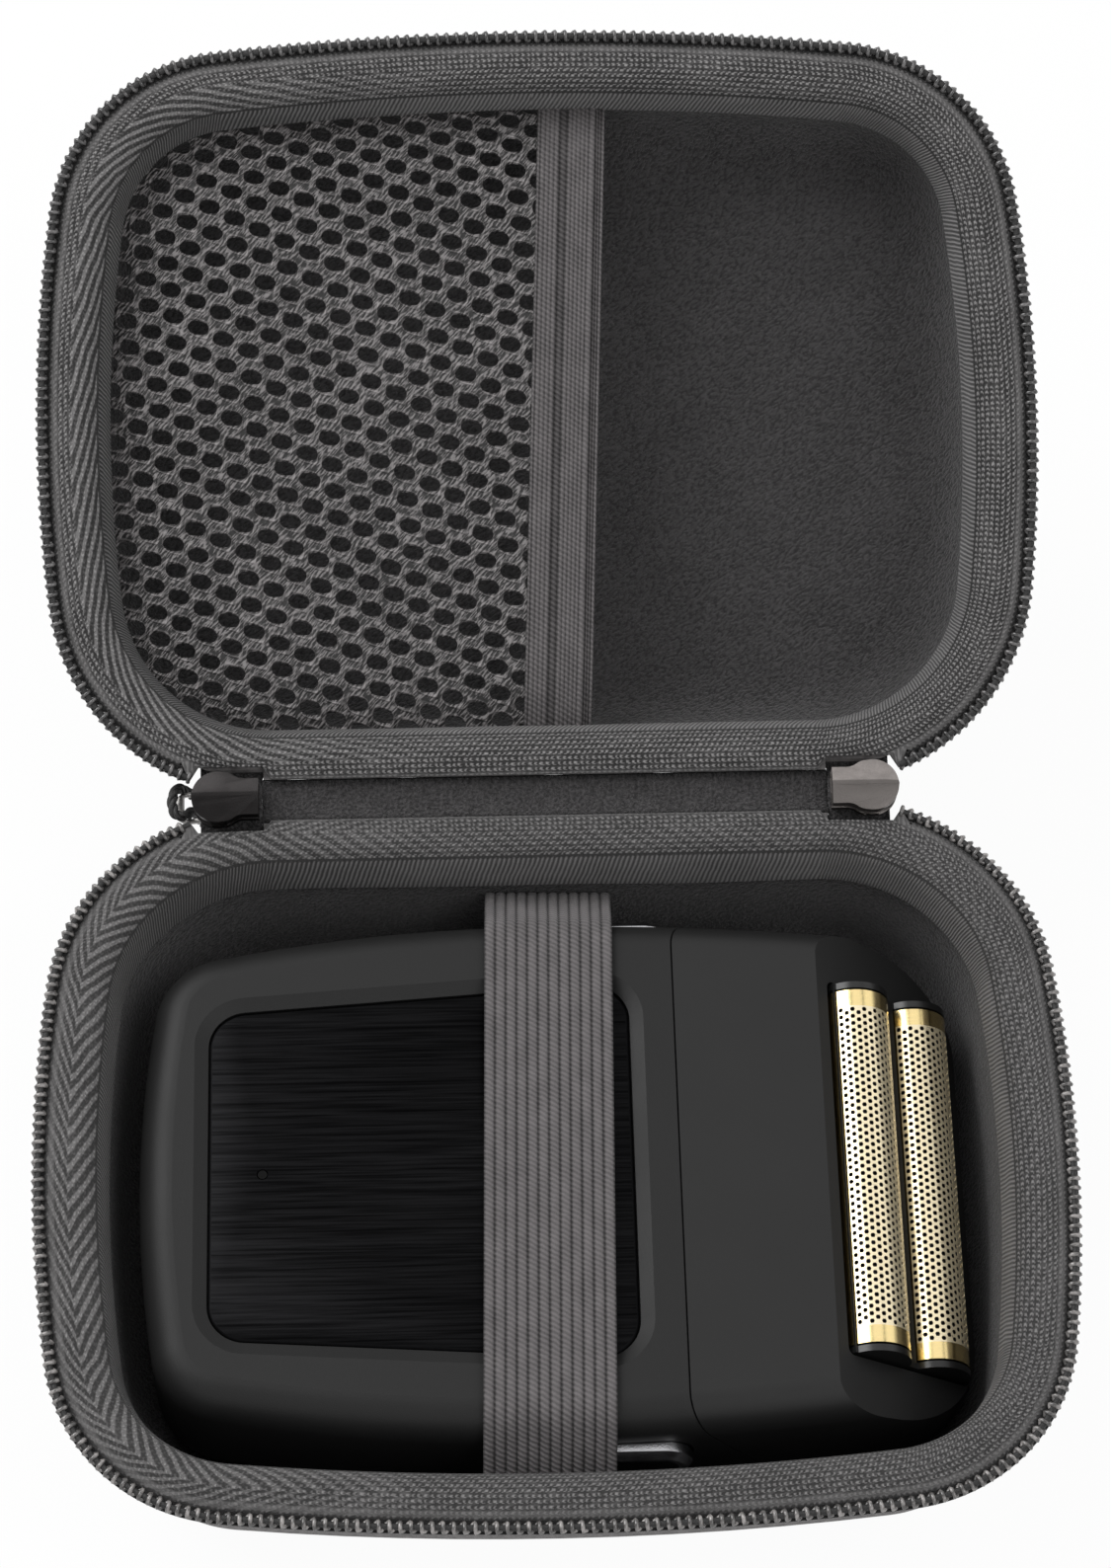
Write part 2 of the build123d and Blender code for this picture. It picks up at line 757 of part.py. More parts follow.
with BuildPart() as shaver_front_shell:
    add(shaver_blank(0))
    add(body_hollow(), mode=Mode.SUBTRACT)
    split(bisect_by=neck_plane(-joint_gap), keep=Keep.BOTTOM)
    split(bisect_by=shaver_frame.offset(shell_split), keep=Keep.TOP)
    add(screw_columns(boss_radius, shell_split + joint_gap, shaver_thick - shaver_wall))
    thread = screw_columns(
        screw_radius + screw_gap, shell_split, shaver_thick - 2 * shaver_wall
    )
    add(thread, mode=Mode.SUBTRACT)
    # Posts that the circuit board hangs from, and ribs behind the release springs.
    with BuildSketch(shaver_frame.offset(shaver_thick - shaver_wall)):
        with Locations(*board_posts):
            Circle(post_width)
    extrude(amount=shaver_wall - board_drop + joint_gap)
    with BuildSketch(shaver_frame.offset(shaver_thick - shaver_wall)):
        for side in (-1, 1):
            rib_reach = body_half - shaver_wall - release_rib_drop
            with Locations((release_place, side * rib_reach)):
                Rectangle(2 * spring_radius, post_width)
    extrude(amount=shell_split + joint_gap + shaver_wall - shaver_thick)
    # Recess for the face plate, with the wells for the power button and the lamp.
    recess_depth = plate_sink + plate_thick + plate_gap
    recess = plate_area(shaver_thick - recess_depth, plate_clearance)
    extrude(to_extrude=recess, amount=recess_depth, mode=Mode.SUBTRACT)
    slope_foot = plate_area(shaver_thick - plate_sink, plate_clearance)
    slope_edge = plate_area(shaver_thick, plate_clearance + plate_slope)
    loft(sections=[slope_foot.face(), slope_edge.face()], ruled=True, mode=Mode.SUBTRACT)
    with BuildSketch(shaver_frame.offset(shaver_thick)):
        with Locations((power_place, 0)):
            Circle(power_radius + button_clearance)
        with Locations((lamp_place, 0)):
            Circle(lamp_radius + joint_gap)
    extrude(amount=-2 * shaver_wall, mode=Mode.SUBTRACT)
    for side in (-1, 1):
        well = release_button(side, button_clearance, body_half - 2 * shaver_wall, 2 * body_half)
        add(well, mode=Mode.SUBTRACT)
shaver_front_shell.part.label = "shaver_front_shell"
export_step(shaver_front_shell.part, "parts/shaver_front_shell.step")

with BuildPart() as shaver_back_shell:
    add(shaver_blank(0))
    add(body_hollow(), mode=Mode.SUBTRACT)
    split(bisect_by=neck_plane(-joint_gap), keep=Keep.BOTTOM)
    split(bisect_by=shaver_frame.offset(shell_split), keep=Keep.BOTTOM)
    add(screw_columns(boss_radius, shaver_wall, shell_split))
    # Clearance bores, with counterbores for the screw heads.
    clearance = screw_radius + joint_gap
    add(screw_columns(clearance, 0, shell_split), mode=Mode.SUBTRACT)
    add(screw_columns(screw_head + joint_gap, 0, 2 * shaver_wall), mode=Mode.SUBTRACT)
    # Port for the charging socket in the tail.
    with BuildSketch(across(shaver_frame)):
        with Locations((0, socket_level)):
            RectangleRounded(port_width + 1.0, port_height + 1.0, port_height / 2)
    extrude(amount=2 * shaver_wall, mode=Mode.SUBTRACT)
shaver_back_shell.part.label = "shaver_back_shell"
export_step(shaver_back_shell.part, "parts/shaver_back_shell.step")

with BuildPart() as housing_screws:
    head_top = 2 * shaver_wall - screw_gap
    add(screw_columns(screw_radius, head_top - screw_head_thick, shell_split + 6.0))
    add(screw_columns(screw_head, head_top - screw_head_thick, head_top))
housing_screws.part.label = "housing_screws"
export_step(housing_screws.part, "parts/housing_screws.step")

# ---- Shaver: face plate, lamp and power button ---------------------------------------
with BuildPart() as face_plate:
    plate_bottom = shaver_thick - plate_sink - plate_thick
    extrude(to_extrude=plate_area(plate_bottom, 0), amount=plate_thick)
    chamfer(face_plate.faces().sort_by(Axis.Z)[-1].edges(), plate_thick / 3)
    with BuildSketch(shaver_frame.offset(plate_bottom)):
        with Locations((power_place, 0)):
            Circle(power_radius + button_clearance)
        with Locations((lamp_place, 0)):
            Circle(lamp_radius + joint_gap)
    extrude(amount=plate_thick, mode=Mode.SUBTRACT)
face_plate.part.label = "face_plate"
export_step(face_plate.part, "parts/face_plate.step")

with BuildPart() as lamp_lens:
    lens_length = shaver_wall + 0.8
    with BuildSketch(shaver_frame.offset(shaver_thick - plate_sink - joint_gap)):
        with Locations((lamp_place, 0)):
            Circle(lamp_radius)
    extrude(amount=-lens_length)
lamp_lens.part.label = "lamp_lens"
export_step(lamp_lens.part, "parts/lamp_lens.step")

with BuildPart() as power_button:
    flange_top = shaver_thick - shaver_wall - button_clearance
    with BuildSketch(shaver_frame.offset(flange_top - power_flange_thick)):
        with Locations((power_place, 0)):
            Circle(power_flange)
    extrude(amount=power_flange_thick)
    with BuildSketch(shaver_frame.offset(flange_top)):
        with Locations((power_place, 0)):
            Circle(power_radius)
    extrude(amount=shaver_thick - flange_top)
    chamfer(power_button.faces().sort_by(Axis.Z)[-1].edges(), 0.3)
power_button.part.label = "power_button"
export_step(power_button.part, "parts/power_button.step")

# ---- Shaver: release buttons ---------------------------------------------------------
release_names = {1: "release_button_rear", -1: "release_button_front"}
flange_reach = body_half - shaver_wall - button_clearance - release_travel / 2
for side, release_name in release_names.items():
    with BuildPart() as release:
        add(release_button(side, 0, flange_reach, body_half + release_proud))
        flange = release_button(
            side, release_margin, flange_reach - release_flange, flange_reach
        )
        add(flange)
        outer = release.faces().sort_by(Axis.Y)[-1 if side > 0 else 0]
        chamfer(outer.edges(), release_proud * 0.5)
    release.part.label = release_name
    export_step(release.part, "parts/" + release_name + ".step")

# ---- Shaver: springs behind the three buttons ----------------------------------------
board_top = shaver_thick - board_drop

with BuildPart() as power_spring:
    spring_top = flange_top - power_flange_thick - joint_gap
    with BuildSketch(shaver_frame.offset(board_top + joint_gap)):
        with Locations((power_place, 0)):
            Circle(spring_radius)
            Circle(spring_radius / 2, mode=Mode.SUBTRACT)
    extrude(amount=spring_top - board_top - joint_gap)
power_spring.part.label = "power_spring"
export_step(power_spring.part, "parts/power_spring.step")

spring_names = {1: "release_spring_rear", -1: "release_spring_front"}
for side, spring_name in spring_names.items():
    with BuildPart() as release_spring:
        spring_reach = flange_reach - release_flange - joint_gap
        with BuildSketch(along(shaver_frame, side * spring_reach)):
            with Locations((release_place, release_level)):
                Circle(spring_radius)
                Circle(spring_radius / 2, mode=Mode.SUBTRACT)
        extrude(amount=side * release_spring_length)
    release_spring.part.label = spring_name
    export_step(release_spring.part, "parts/" + spring_name + ".step")

# ---- Shaver: foil head ---------------------------------------------------------------
# The deck frame lies on the sloping deck: local X runs down the slope across the foils,
# local Y along the foils, and local Z stands out of the deck.
slope = radians(foil_slope)
deck_frame = Plane(
    origin=shaver_frame.from_local_coords((foil_edge, 0, shaver_thick - foil_edge_drop)),
    x_dir=(cos(slope), 0, -sin(slope)),
    z_dir=(sin(slope), 0, cos(slope)),
)
foil_places = [foil_first, foil_first + foil_pitch]
window_length = foil_places[-1] + foil_last
cassette_start = cassette_margin
cassette_end = window_length - cassette_margin


def foil_profile(place, radius, bottom):
    """Arch of a foil in section: round crown, straight sides down to a depth below the deck."""
    with BuildSketch(along(deck_frame), mode=Mode.PRIVATE) as profile:
        with BuildLine():
            left = place - radius
            right = place + radius
            Line((left, -bottom), (left, -foil_sink))
            ThreePointArc((left, -foil_sink), (place, radius - foil_sink), (right, -foil_sink))
            Line((right, -foil_sink), (right, -bottom))
            Line((right, -bottom), (left, -bottom))
        make_face()
    return profile.sketch


def head_hollow():
    """Room inside the head, under its deck."""
    with BuildPart(mode=Mode.PRIVATE) as hollow:
        add(shaver_blank(shaver_wall))
        split(bisect_by=neck_plane(shaver_wall), keep=Keep.TOP)
        split(bisect_by=deck_frame.offset(-shaver_wall), keep=Keep.BOTTOM)
    return hollow.part


with BuildPart() as head_frame:
    add(shaver_blank(0))
    split(bisect_by=neck_plane(joint_gap), keep=Keep.TOP)
    # Everything above the sloping deck goes, with a soft crease at its upper edge.
    split(bisect_by=deck_frame, keep=Keep.BOTTOM)
    add(head_hollow(), mode=Mode.SUBTRACT)
    with BuildSketch(deck_frame):
        with Locations((window_length / 2, 0)):
            RectangleRounded(window_length, 2 * cassette_half + 2 * inner_clearance, window_corner)
    extrude(amount=-2 * shaver_wall, mode=Mode.SUBTRACT)
head_frame.part.label = "head_frame"
export_step(head_frame.part, "parts/head_frame.step")

with BuildPart() as foil_cassette:
    with BuildSketch(deck_frame.offset(cassette_lip)):
        with Locations(((cassette_start + cassette_end) / 2, 0)):
            Rectangle(cassette_end - cassette_start, 2 * cassette_half)
    extrude(amount=-cassette_depth - cassette_lip)
    # End caps that close the arches of the foils.
    for place in foil_places:
        cap = foil_profile(place, foil_radius, cassette_depth)
        extrude(to_extrude=cap, amount=cassette_half, both=True)
    # Slots in which the foils float.
    for place in foil_places:
        slot = foil_profile(place, foil_radius + inner_clearance, cassette_depth)
        extrude(to_extrude=slot, amount=foil_half + inner_clearance, both=True, mode=Mode.SUBTRACT)
foil_cassette.part.label = "foil_cassette"
export_step(foil_cassette.part, "parts/foil_cassette.step")

for number, place in enumerate(foil_places, start=1):
    with BuildPart() as foil:
        arch = foil_profile(place, foil_radius, foil_skirt)
        extrude(to_extrude=arch, amount=foil_half, both=True)
        under = foil_profile(place, foil_radius - foil_thick, foil_skirt)
        extrude(to_extrude=under, amount=foil_half, both=True, mode=Mode.SUBTRACT)
    foil.part.label = "foil_" + str(number)
    export_step(foil.part, "parts/foil_" + str(number) + ".step")

# Cutter blocks: a row of half-round blades on a moulded core.
blade_radius = foil_radius - foil_thick - cutter_gap
blade_pitch = (2 * cutter_half - blade_thick) / (blade_count - 1)
for number, place in enumerate(foil_places, start=1):
    with BuildPart() as cutter:
        with BuildSketch(along(deck_frame)):
            with Locations((place, -foil_sink)):
                Circle(cutter_core)
                Rectangle(2 * cutter_core, cutter_core, align=(Align.CENTER, Align.MAX))
        extrude(amount=cutter_half, both=True)
        for index in range(blade_count):
            start = -cutter_half + index * blade_pitch
            with BuildSketch(along(deck_frame, start)):
                with Locations((place, -foil_sink)):
                    Circle(blade_radius, align=(Align.CENTER, Align.CENTER))
                    Rectangle(
                        2 * blade_radius, blade_radius, align=(Align.CENTER, Align.MAX),
                        mode=Mode.SUBTRACT,
                    )
            extrude(amount=-blade_thick)
        # The drive post's slot is long across the foils, so the head can be pulled off.
        with BuildSketch(place_in(deck_frame, place, 0, -foil_sink - cutter_core)):
            slot_width = 2 * (post_radius + post_clearance)
            SlotCenterToCenter(2 * post_slide, slot_width)
        extrude(amount=post_pocket, mode=Mode.SUBTRACT)
    cutter.part.label = "cutter_" + str(number)
    export_step(cutter.part, "parts/cutter_" + str(number) + ".step")

with BuildPart() as drive_yoke:
    post_tip = -foil_sink - cutter_core + post_engagement
    yoke_top = -cassette_depth - yoke_gap
    for place in foil_places:
        with BuildSketch(place_in(deck_frame, place, 0, yoke_top)):
            Circle(post_radius)
        extrude(amount=post_tip - yoke_top)
    with BuildSketch(place_in(deck_frame, (foil_places[0] + foil_places[1]) / 2, 0, yoke_top)):
        RectangleRounded(foil_pitch + 3 * post_radius, 3 * post_radius, post_radius)
    extrude(amount=-yoke_thick)
drive_yoke.part.label = "drive_yoke"
export_step(drive_yoke.part, "parts/drive_yoke.step")

# ---- Shaver: motor, cell, board and socket -------------------------------------------
inner_floor = shaver_wall + inner_clearance

with BuildPart() as motor:
    motor_level = inner_floor + motor_radius
    with BuildSketch(across(shaver_frame, motor_start)):
        with Locations((0, motor_level)):
            Circle(motor_radius)
    extrude(amount=motor_length)
    with BuildSketch(across(shaver_frame, motor_start + motor_length)):
        with Locations((0, motor_level)):
            Circle(motor_boss)
    extrude(amount=motor_boss / 2)
motor.part.label = "motor"
export_step(motor.part, "parts/motor.step")

with BuildPart() as battery:
    with BuildSketch(across(shaver_frame, battery_start)):
        with Locations((battery_offset, inner_floor + battery_radius)):
            Circle(battery_radius)
    extrude(amount=battery_length)
    with BuildSketch(across(shaver_frame, battery_start + battery_length)):
        with Locations((battery_offset, inner_floor + battery_radius)):
            Circle(battery_radius * 0.4)
    extrude(amount=0.8)
battery.part.label = "battery"
export_step(battery.part, "parts/battery.step")

with BuildPart() as circuit_board:
    with BuildSketch(shaver_frame.offset(board_top)):
        with Locations(((board_start + board_end) / 2, 0)):
            Rectangle(board_end - board_start, 2 * board_half)
    extrude(amount=-board_thick)
circuit_board.part.label = "circuit_board"
export_step(circuit_board.part, "parts/circuit_board.step")

with BuildPart() as charge_socket:
    with BuildSketch(across(shaver_frame, socket_start)):
        with Locations((0, socket_level)):
            Rectangle(socket_width, socket_height)
    extrude(amount=socket_length)
    with BuildSketch(across(shaver_frame, 0.4)):
        with Locations((0, socket_level)):
            RectangleRounded(port_width + 0.4, port_height + 0.4, port_height / 2)
    extrude(amount=socket_start)
    with BuildSketch(across(shaver_frame, 0.4)):
        with Locations((0, socket_level)):
            RectangleRounded(port_width - 0.3, port_height - 0.3, port_height / 2 - 0.2)
    extrude(amount=port_depth, mode=Mode.SUBTRACT)
charge_socket.part.label = "charge_socket"
export_step(charge_socket.part, "parts/charge_socket.step")
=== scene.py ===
"""Hard zip case standing open, with a foil shaver strapped into its base."""

import json
from math import acos, atan2, ceil, cos, floor, pi, radians, sin, sqrt, tan

import bmesh
import bpy
from bpy.props import FloatProperty, FloatVectorProperty, PointerProperty
from mathutils import Matrix, Vector
from mathutils.geometry import intersect_sphere_sphere_2d

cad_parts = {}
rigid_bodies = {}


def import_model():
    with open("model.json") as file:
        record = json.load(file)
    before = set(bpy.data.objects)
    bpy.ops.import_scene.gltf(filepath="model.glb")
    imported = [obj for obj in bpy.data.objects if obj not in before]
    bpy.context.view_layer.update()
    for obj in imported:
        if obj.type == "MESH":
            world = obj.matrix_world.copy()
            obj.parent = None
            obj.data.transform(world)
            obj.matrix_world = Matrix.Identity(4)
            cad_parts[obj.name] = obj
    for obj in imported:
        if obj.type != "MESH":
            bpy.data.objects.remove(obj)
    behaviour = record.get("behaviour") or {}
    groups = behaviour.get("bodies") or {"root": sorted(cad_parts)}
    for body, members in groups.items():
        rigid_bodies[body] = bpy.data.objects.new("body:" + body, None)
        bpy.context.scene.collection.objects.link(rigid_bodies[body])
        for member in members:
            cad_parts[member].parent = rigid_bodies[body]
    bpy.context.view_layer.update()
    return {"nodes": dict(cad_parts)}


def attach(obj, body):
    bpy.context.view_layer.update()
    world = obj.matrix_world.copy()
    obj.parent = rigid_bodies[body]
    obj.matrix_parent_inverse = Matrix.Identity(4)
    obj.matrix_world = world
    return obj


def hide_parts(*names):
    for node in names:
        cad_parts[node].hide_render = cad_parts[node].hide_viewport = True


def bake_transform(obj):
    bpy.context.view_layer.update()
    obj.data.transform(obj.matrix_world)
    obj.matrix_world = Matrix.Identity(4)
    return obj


bl_info = {
    "name": "Zip case with foil shaver",
    "version": (1, 0, 0),
    "blender": (4, 5, 0),
    "location": "3D View > Sidebar > Case",
    "description": "Finishes the pieces of a hard zip case and of the foil shaver in it",
    "category": "Object",
}

for leftover in list(bpy.data.objects):
    bpy.data.objects.remove(leftover)
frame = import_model()
NODES = frame["nodes"]

# Sizes are in millimetres and angles in degrees, in the same frames as the model's.
MM = 0.001
SHARP_ANGLE = 40.0           # edges that bend further than this are sharp

# ---- Case: outline at the outer edge of the zip teeth --------------------------------
CASE_WIDTH = 136.0
CASE_SPAN = 104.0            # front of the zip to the hinge axis
SIDE_BULGE = 5.9
FRONT_BULGE = 4.6
FRONT_CORNER = 25.5
REAR_CORNER = 30.0
BASE_HEIGHT = 34.0           # underside to the parting plane
LID_HEIGHT = 24.0
LID_RISE = 26.0              # the open lid's tilt above level

# ---- Case: felt lining ---------------------------------------------------------------
FELT_INSET = 7.6             # teeth edge to the felt's inner face at the rim
FELT_DROP = 2.35             # parting plane to the felt's upper edge
FELT_DRAFT = 8.0
FELT_RADIUS = 9.2
FELT_THICK = 0.75
SHELL_FLOOR = 4.9            # underside of the shell to the top of the felt

# ---- Case: zip -----------------------------------------------------------------------
COIL_START = 48.3            # where the teeth end beside a slider
COIL_INSET = 0.95
COIL_DROP = 0.85
TAPE_SECTION = [
    (0.35, 1.75), (0.3, 1.55), (1.4, 1.52), (1.7, 1.4), (1.85, 1.12), (2.1, 0.94), (2.5, 0.84),
    (2.9, 0.75), (3.4, 0.62), (4.1, 0.47), (5.0, 0.4),
    (5.9, 0.46), (6.7, 0.66), (7.4, 1.0), (8.0, 1.5), (8.5, 2.2), (8.85, 3.1), (9.1, 4.2),
    (9.33, 5.4), (9.55, 6.7), (9.72, 7.7), (9.6, 8.0), (9.2, 7.9), (8.95, 6.7), (8.72, 5.4),
    (8.5, 4.2), (8.3, 3.2), (7.95, 2.4), (7.4, 1.72), (6.6, 1.5), (5.0, 1.5), (2.6, 1.5),
    (2.55, 1.8),
]
SLIDER_BAY = (38.0, 48.2)    # room for a slider, from the case's centre plane
BAY_INSET = 4.5

# ---- Case: hinge cloth ---------------------------------------------------------------
HINGE_HALF = 38.2
HINGE_STRIP = (3.2, 2.0, 2.9)        # half width, depth at the edges, depth at the middle
HINGE_LINING = (2.85, 1.2, 1.8)
HINGE_TABS = (46.5, 5.2, 1.5)        # reach, half width and depth of the tabs in the sliders

# ---- Case: mesh pocket and its band --------------------------------------------------
POCKET_SEWN = 9.0            # teeth edge to the pocket's sewn edge
POCKET_SLOPE = 11.0          # how far in from there the pocket rises
POCKET_LEVEL = 5.35          # parting plane down to the flat part
POCKET_PLUNGE = 2.9          # from there down to the sewn edge
BAND_WIDTH = 9.2
BAND_OFFSET = 3.75
BAND_SKEW = 2.4
HOLE_STEP_ACROSS = Vector((-3.39, 1.63))     # from one hole to the next in a row
HOLE_STEP_DOWN = Vector((-0.32, 3.64))
HOLE_HALVES = (1.56, 0.98)

# ---- Case: strap ---------------------------------------------------------------------
STRAP_WIDTH = 17.0
STRAP_THICK = 1.0
STRAP_OFFSET = -0.85
STRAP_SKEW = 1.27
STRAP_LEVEL = -3.1           # strap's middle above the shaver, from the parting plane
STRAP_RIBS = 12
STRAP_BEND = 5.3
STRAP_END = (42.25, -11.0)   # sewn end: reach from the centre plane, and level

# ---- Case: sliders and cord ----------------------------------------------------------
SLIDER_TOP = 1.95            # zip plane to the top of the inner plate
CORD_ROUTE = [
    (-44.7, 57.0, 17.0),
    (-44.7, 57.0, 20.0),
    (-47.2, 56.7, 25.64),
    (-49.2, 55.96, 30.19),
    (-49.9, 54.88, 32.2),
    (-50.5, 52.89, 32.36),
    (-50.0, 50.8, 31.95),
    (-48.45, 51.0, 31.4),
    (-47.75, 52.85, 29.89),
    (-46.4, 53.1, 24.81),
    (-44.7, 54.4, 19.8),
    (-44.7, 54.4, 17.0),
]
GRIP_RINGS = 13

# ---- Shaver --------------------------------------------------------------------------
SHAVER_ORIGIN = (-54.4, -0.8, 5.1)
SHAVER_THICK = 25.0
DECK_EDGE = 91.2             # where the sloping foil deck meets the face
DECK_DROP = 1.1
DECK_SLOPE = 38.0
FOIL_PLACES = (5.6, 16.0)    # arch centres, down the deck
FOIL_RADIUS = 4.7
FOIL_SINK = 1.2
FOIL_SKIRT = 2.6
FOIL_HALF = 25.0
FOIL_COLUMNS = 14
FOIL_ROWS = 44
FOIL_COLUMN_PITCH = 0.8
FOIL_ROW_PITCH = 1.03


# ---- Frames --------------------------------------------------------------------------
def placed(origin, x_way, z_way):
    """Matrix of a frame with its origin, X axis and Z axis."""
    x_axis = Vector(x_way).normalized()
    z_axis = Vector(z_way).normalized()
    matrix = Matrix((x_axis, z_axis.cross(x_axis), z_axis)).transposed().to_4x4()
    matrix.translation = Vector(origin)
    return matrix


HINGE = Vector((0, CASE_SPAN / 2, BASE_HEIGHT))
FAR_WAY = Vector((0, cos(radians(LID_RISE)), sin(radians(LID_RISE))))
BASE_PLACE = Matrix.Translation((0, 0, BASE_HEIGHT))
LID_PLACE = placed(
    HINGE + FAR_WAY * (CASE_SPAN / 2),
    (-1, 0, 0),
    (0, -sin(radians(LID_RISE)), cos(radians(LID_RISE))),
)
HINGE_PLACE = placed(
    HINGE, (1, 0, 0), (0, -sin(radians(LID_RISE / 2)), cos(radians(LID_RISE / 2)))
)
SHAVER_PLACE = Matrix.Translation(SHAVER_ORIGIN)
DECK_PLACE = SHAVER_PLACE @ placed(
    (DECK_EDGE, 0, SHAVER_THICK - DECK_DROP),
    (cos(radians(DECK_SLOPE)), 0, -sin(radians(DECK_SLOPE))),
    (sin(radians(DECK_SLOPE)), 0, cos(radians(DECK_SLOPE))),
)
HALF_PLACES = {"base": BASE_PLACE, "lid": LID_PLACE}
HALF_HEIGHTS = {"base": BASE_HEIGHT, "lid": LID_HEIGHT}


# ---- Outline of the case -------------------------------------------------------------
def bulge_radius(half_chord, bulge):
    """Radius of the arc that stands bulge proud of its chord."""
    return (half_chord ** 2 + bulge ** 2) / (2 * bulge)


def angle_of(way):
    """Angle of a flat direction from the X axis."""
    return atan2(way.y, way.x)


def rim_arcs():
    """Arcs of the right half of the rim, rear to front: centre, radius, start and end angle."""
    rear = CASE_SPAN / 2
    front = FRONT_BULGE - rear
    half = CASE_WIDTH / 2 - SIDE_BULGE
    side_radius = bulge_radius((rear - front) / 2, SIDE_BULGE)
    side = Vector((CASE_WIDTH / 2 - side_radius, (rear + front) / 2))
    front_radius = bulge_radius(half, FRONT_BULGE)
    fore = Vector((0, front_radius - rear))
    rise = rear - REAR_CORNER - side.y
    turn = side + Vector((sqrt((side_radius - REAR_CORNER) ** 2 - rise ** 2), rise))
    meets = intersect_sphere_sphere_2d(
        side, side_radius - FRONT_CORNER, fore, front_radius - FRONT_CORNER
    )
    bend = max(meets, key=lambda point: point.x)
    stops = [pi / 2, angle_of(turn - side), angle_of(bend - side), angle_of(bend - fore), -pi / 2]
    centres = [turn, side, bend, fore]
    radii = [REAR_CORNER, side_radius, FRONT_CORNER, front_radius]
    return list(zip(centres, radii, stops, stops[1:]))


RIM_ARCS = rim_arcs()
REAR_STRAIGHT = RIM_ARCS[0][0].x
RIM_HALF = REAR_STRAIGHT + sum(radius * (start - end) for _, radius, start, end in RIM_ARCS)


def rim_place(distance):
    """Point of the rim and its outward direction, walked clockwise from the rear's middle."""
    if distance > RIM_HALF:
        distance -= 2 * RIM_HALF
    side = 1 if distance >= 0 else -1
    left = abs(distance) - REAR_STRAIGHT
    if left <= 0:
        return Vector((distance, CASE_SPAN / 2)), Vector((0, 1))
    for centre, radius, start, end in RIM_ARCS:
        if left <= radius * (start - end):
            break
        left -= radius * (start - end)
    angle = start - left / radius
    way = Vector((cos(angle), sin(angle)))
    point = centre + way * radius
    return Vector((side * point.x, point.y)), Vector((side * way.x, way.y))


def rim_inset(x, y):
    """How far a point lies inside the rim, and the outward direction there."""
    point = Vector((abs(x), y))
    nearest = (CASE_SPAN / 2 - y, Vector((0, 1)))
    for centre, radius, start, end in RIM_ARCS:
        way = point - centre
        inset = radius - way.length
        if end <= angle_of(way) <= start and inset < nearest[0]:
            nearest = (inset, way.normalized())
    inset, way = nearest
    return inset, Vector((way.x if x >= 0 else -way.x, way.y))


# ---- Mesh tools ----------------------------------------------------------------------
class Sweep:
    """A chain of points carried through space, which notes how far it has come."""

    def __init__(self, bm, points, closed=False, crowns=None):
        self.bm = bm
        self.along = bm.verts.layers.float.new("along")
        self.across = bm.verts.layers.float.new("across")
        crown = bm.verts.layers.float.new("crown") if crowns else None
        self.distance = 0.0
        verts = [bm.verts.new(point) for point in points]
        reach = 0.0
        for before, vert in zip([verts[0]] + verts, verts):
            reach += (vert.co - before.co).length
            vert[self.across] = reach
        if crowns:
            for vert, height in zip(verts, crowns):
                vert[crown] = height
                vert[self.across] = vert.co.x
        pairs = list(zip(verts, verts[1:]))
        if closed:
            pairs.append((verts[-1], verts[0]))
        self.chain = verts + [bm.edges.new(pair) for pair in pairs]

    def note(self, made, length):
        """Keep the chain that a step made, and write its distance into its points."""
        self.chain = made
        self.distance += length
        for vert in self.verts():
            vert[self.along] = self.distance

    def verts(self):
        """Points of the chain where it is now."""
        return [item for item in self.chain if isinstance(item, bmesh.types.BMVert)]

    def straight(self, shift, steps=1):
        """Carry the chain along a straight line."""
        step = Vector(shift) / steps
        for _ in range(steps):
            edges = [item for item in self.chain if isinstance(item, bmesh.types.BMEdge)]
            made = bmesh.ops.extrude_edge_only(self.bm, edges=edges)["geom"]
            made = [item for item in made if not isinstance(item, bmesh.types.BMFace)]
            self.note(made, step.length)
            bmesh.ops.translate(self.bm, verts=self.verts(), vec=step)

    def turn(self, centre, axis, angle, steps, radius):
        """Carry the chain round an axis; radius is where the distance is measured."""
        for _ in range(steps):
            made = bmesh.ops.spin(
                self.bm, geom=self.chain, cent=centre, axis=axis, angle=angle / steps, steps=1
            )["geom_last"]
            self.note(made, abs(angle) / steps * radius)


def sweep_rim(bm, section, closed, step=1.6):
    """Carry a section of (inset, drop) points round the case's rim."""
    points = [(0, CASE_SPAN / 2 - inset, -drop) for inset, drop in section]
    sweep = Sweep(bm, points, closed)
    sweep.straight((REAR_STRAIGHT, 0, 0), ceil(REAR_STRAIGHT / step))
    for centre, radius, start, end in RIM_ARCS:
        steps = ceil(radius * (start - end) / step)
        sweep.turn((centre.x, centre.y, 0), (0, 0, 1), end - start, steps, radius)
    everything = bm.verts[:] + bm.edges[:] + bm.faces[:]
    bmesh.ops.mirror(bm, geom=everything, matrix=Matrix(), merge_dist=0.01, axis="X")
    return sweep


def write_weave(bm, sweep, way=0):
    """Map the swept faces in millimetres: along the piece, and across it.

    Without a way, the distance along is negative on the case's X- side.
    """
    weave = bm.loops.layers.uv.new("weave")
    for face in bm.faces:
        side = way or (-1 if face.calc_center_median().x < 0 else 1)
        for loop in face.loops:
            loop[weave].uv = (side * loop.vert[sweep.along], loop.vert[sweep.across])


def write_flat_weave(bm):
    """Map faces by their own X and Y, in millimetres."""
    weave = bm.loops.layers.uv.new("weave")
    for face in bm.faces:
        for loop in face.loops:
            loop[weave].uv = loop.vert.co.xy


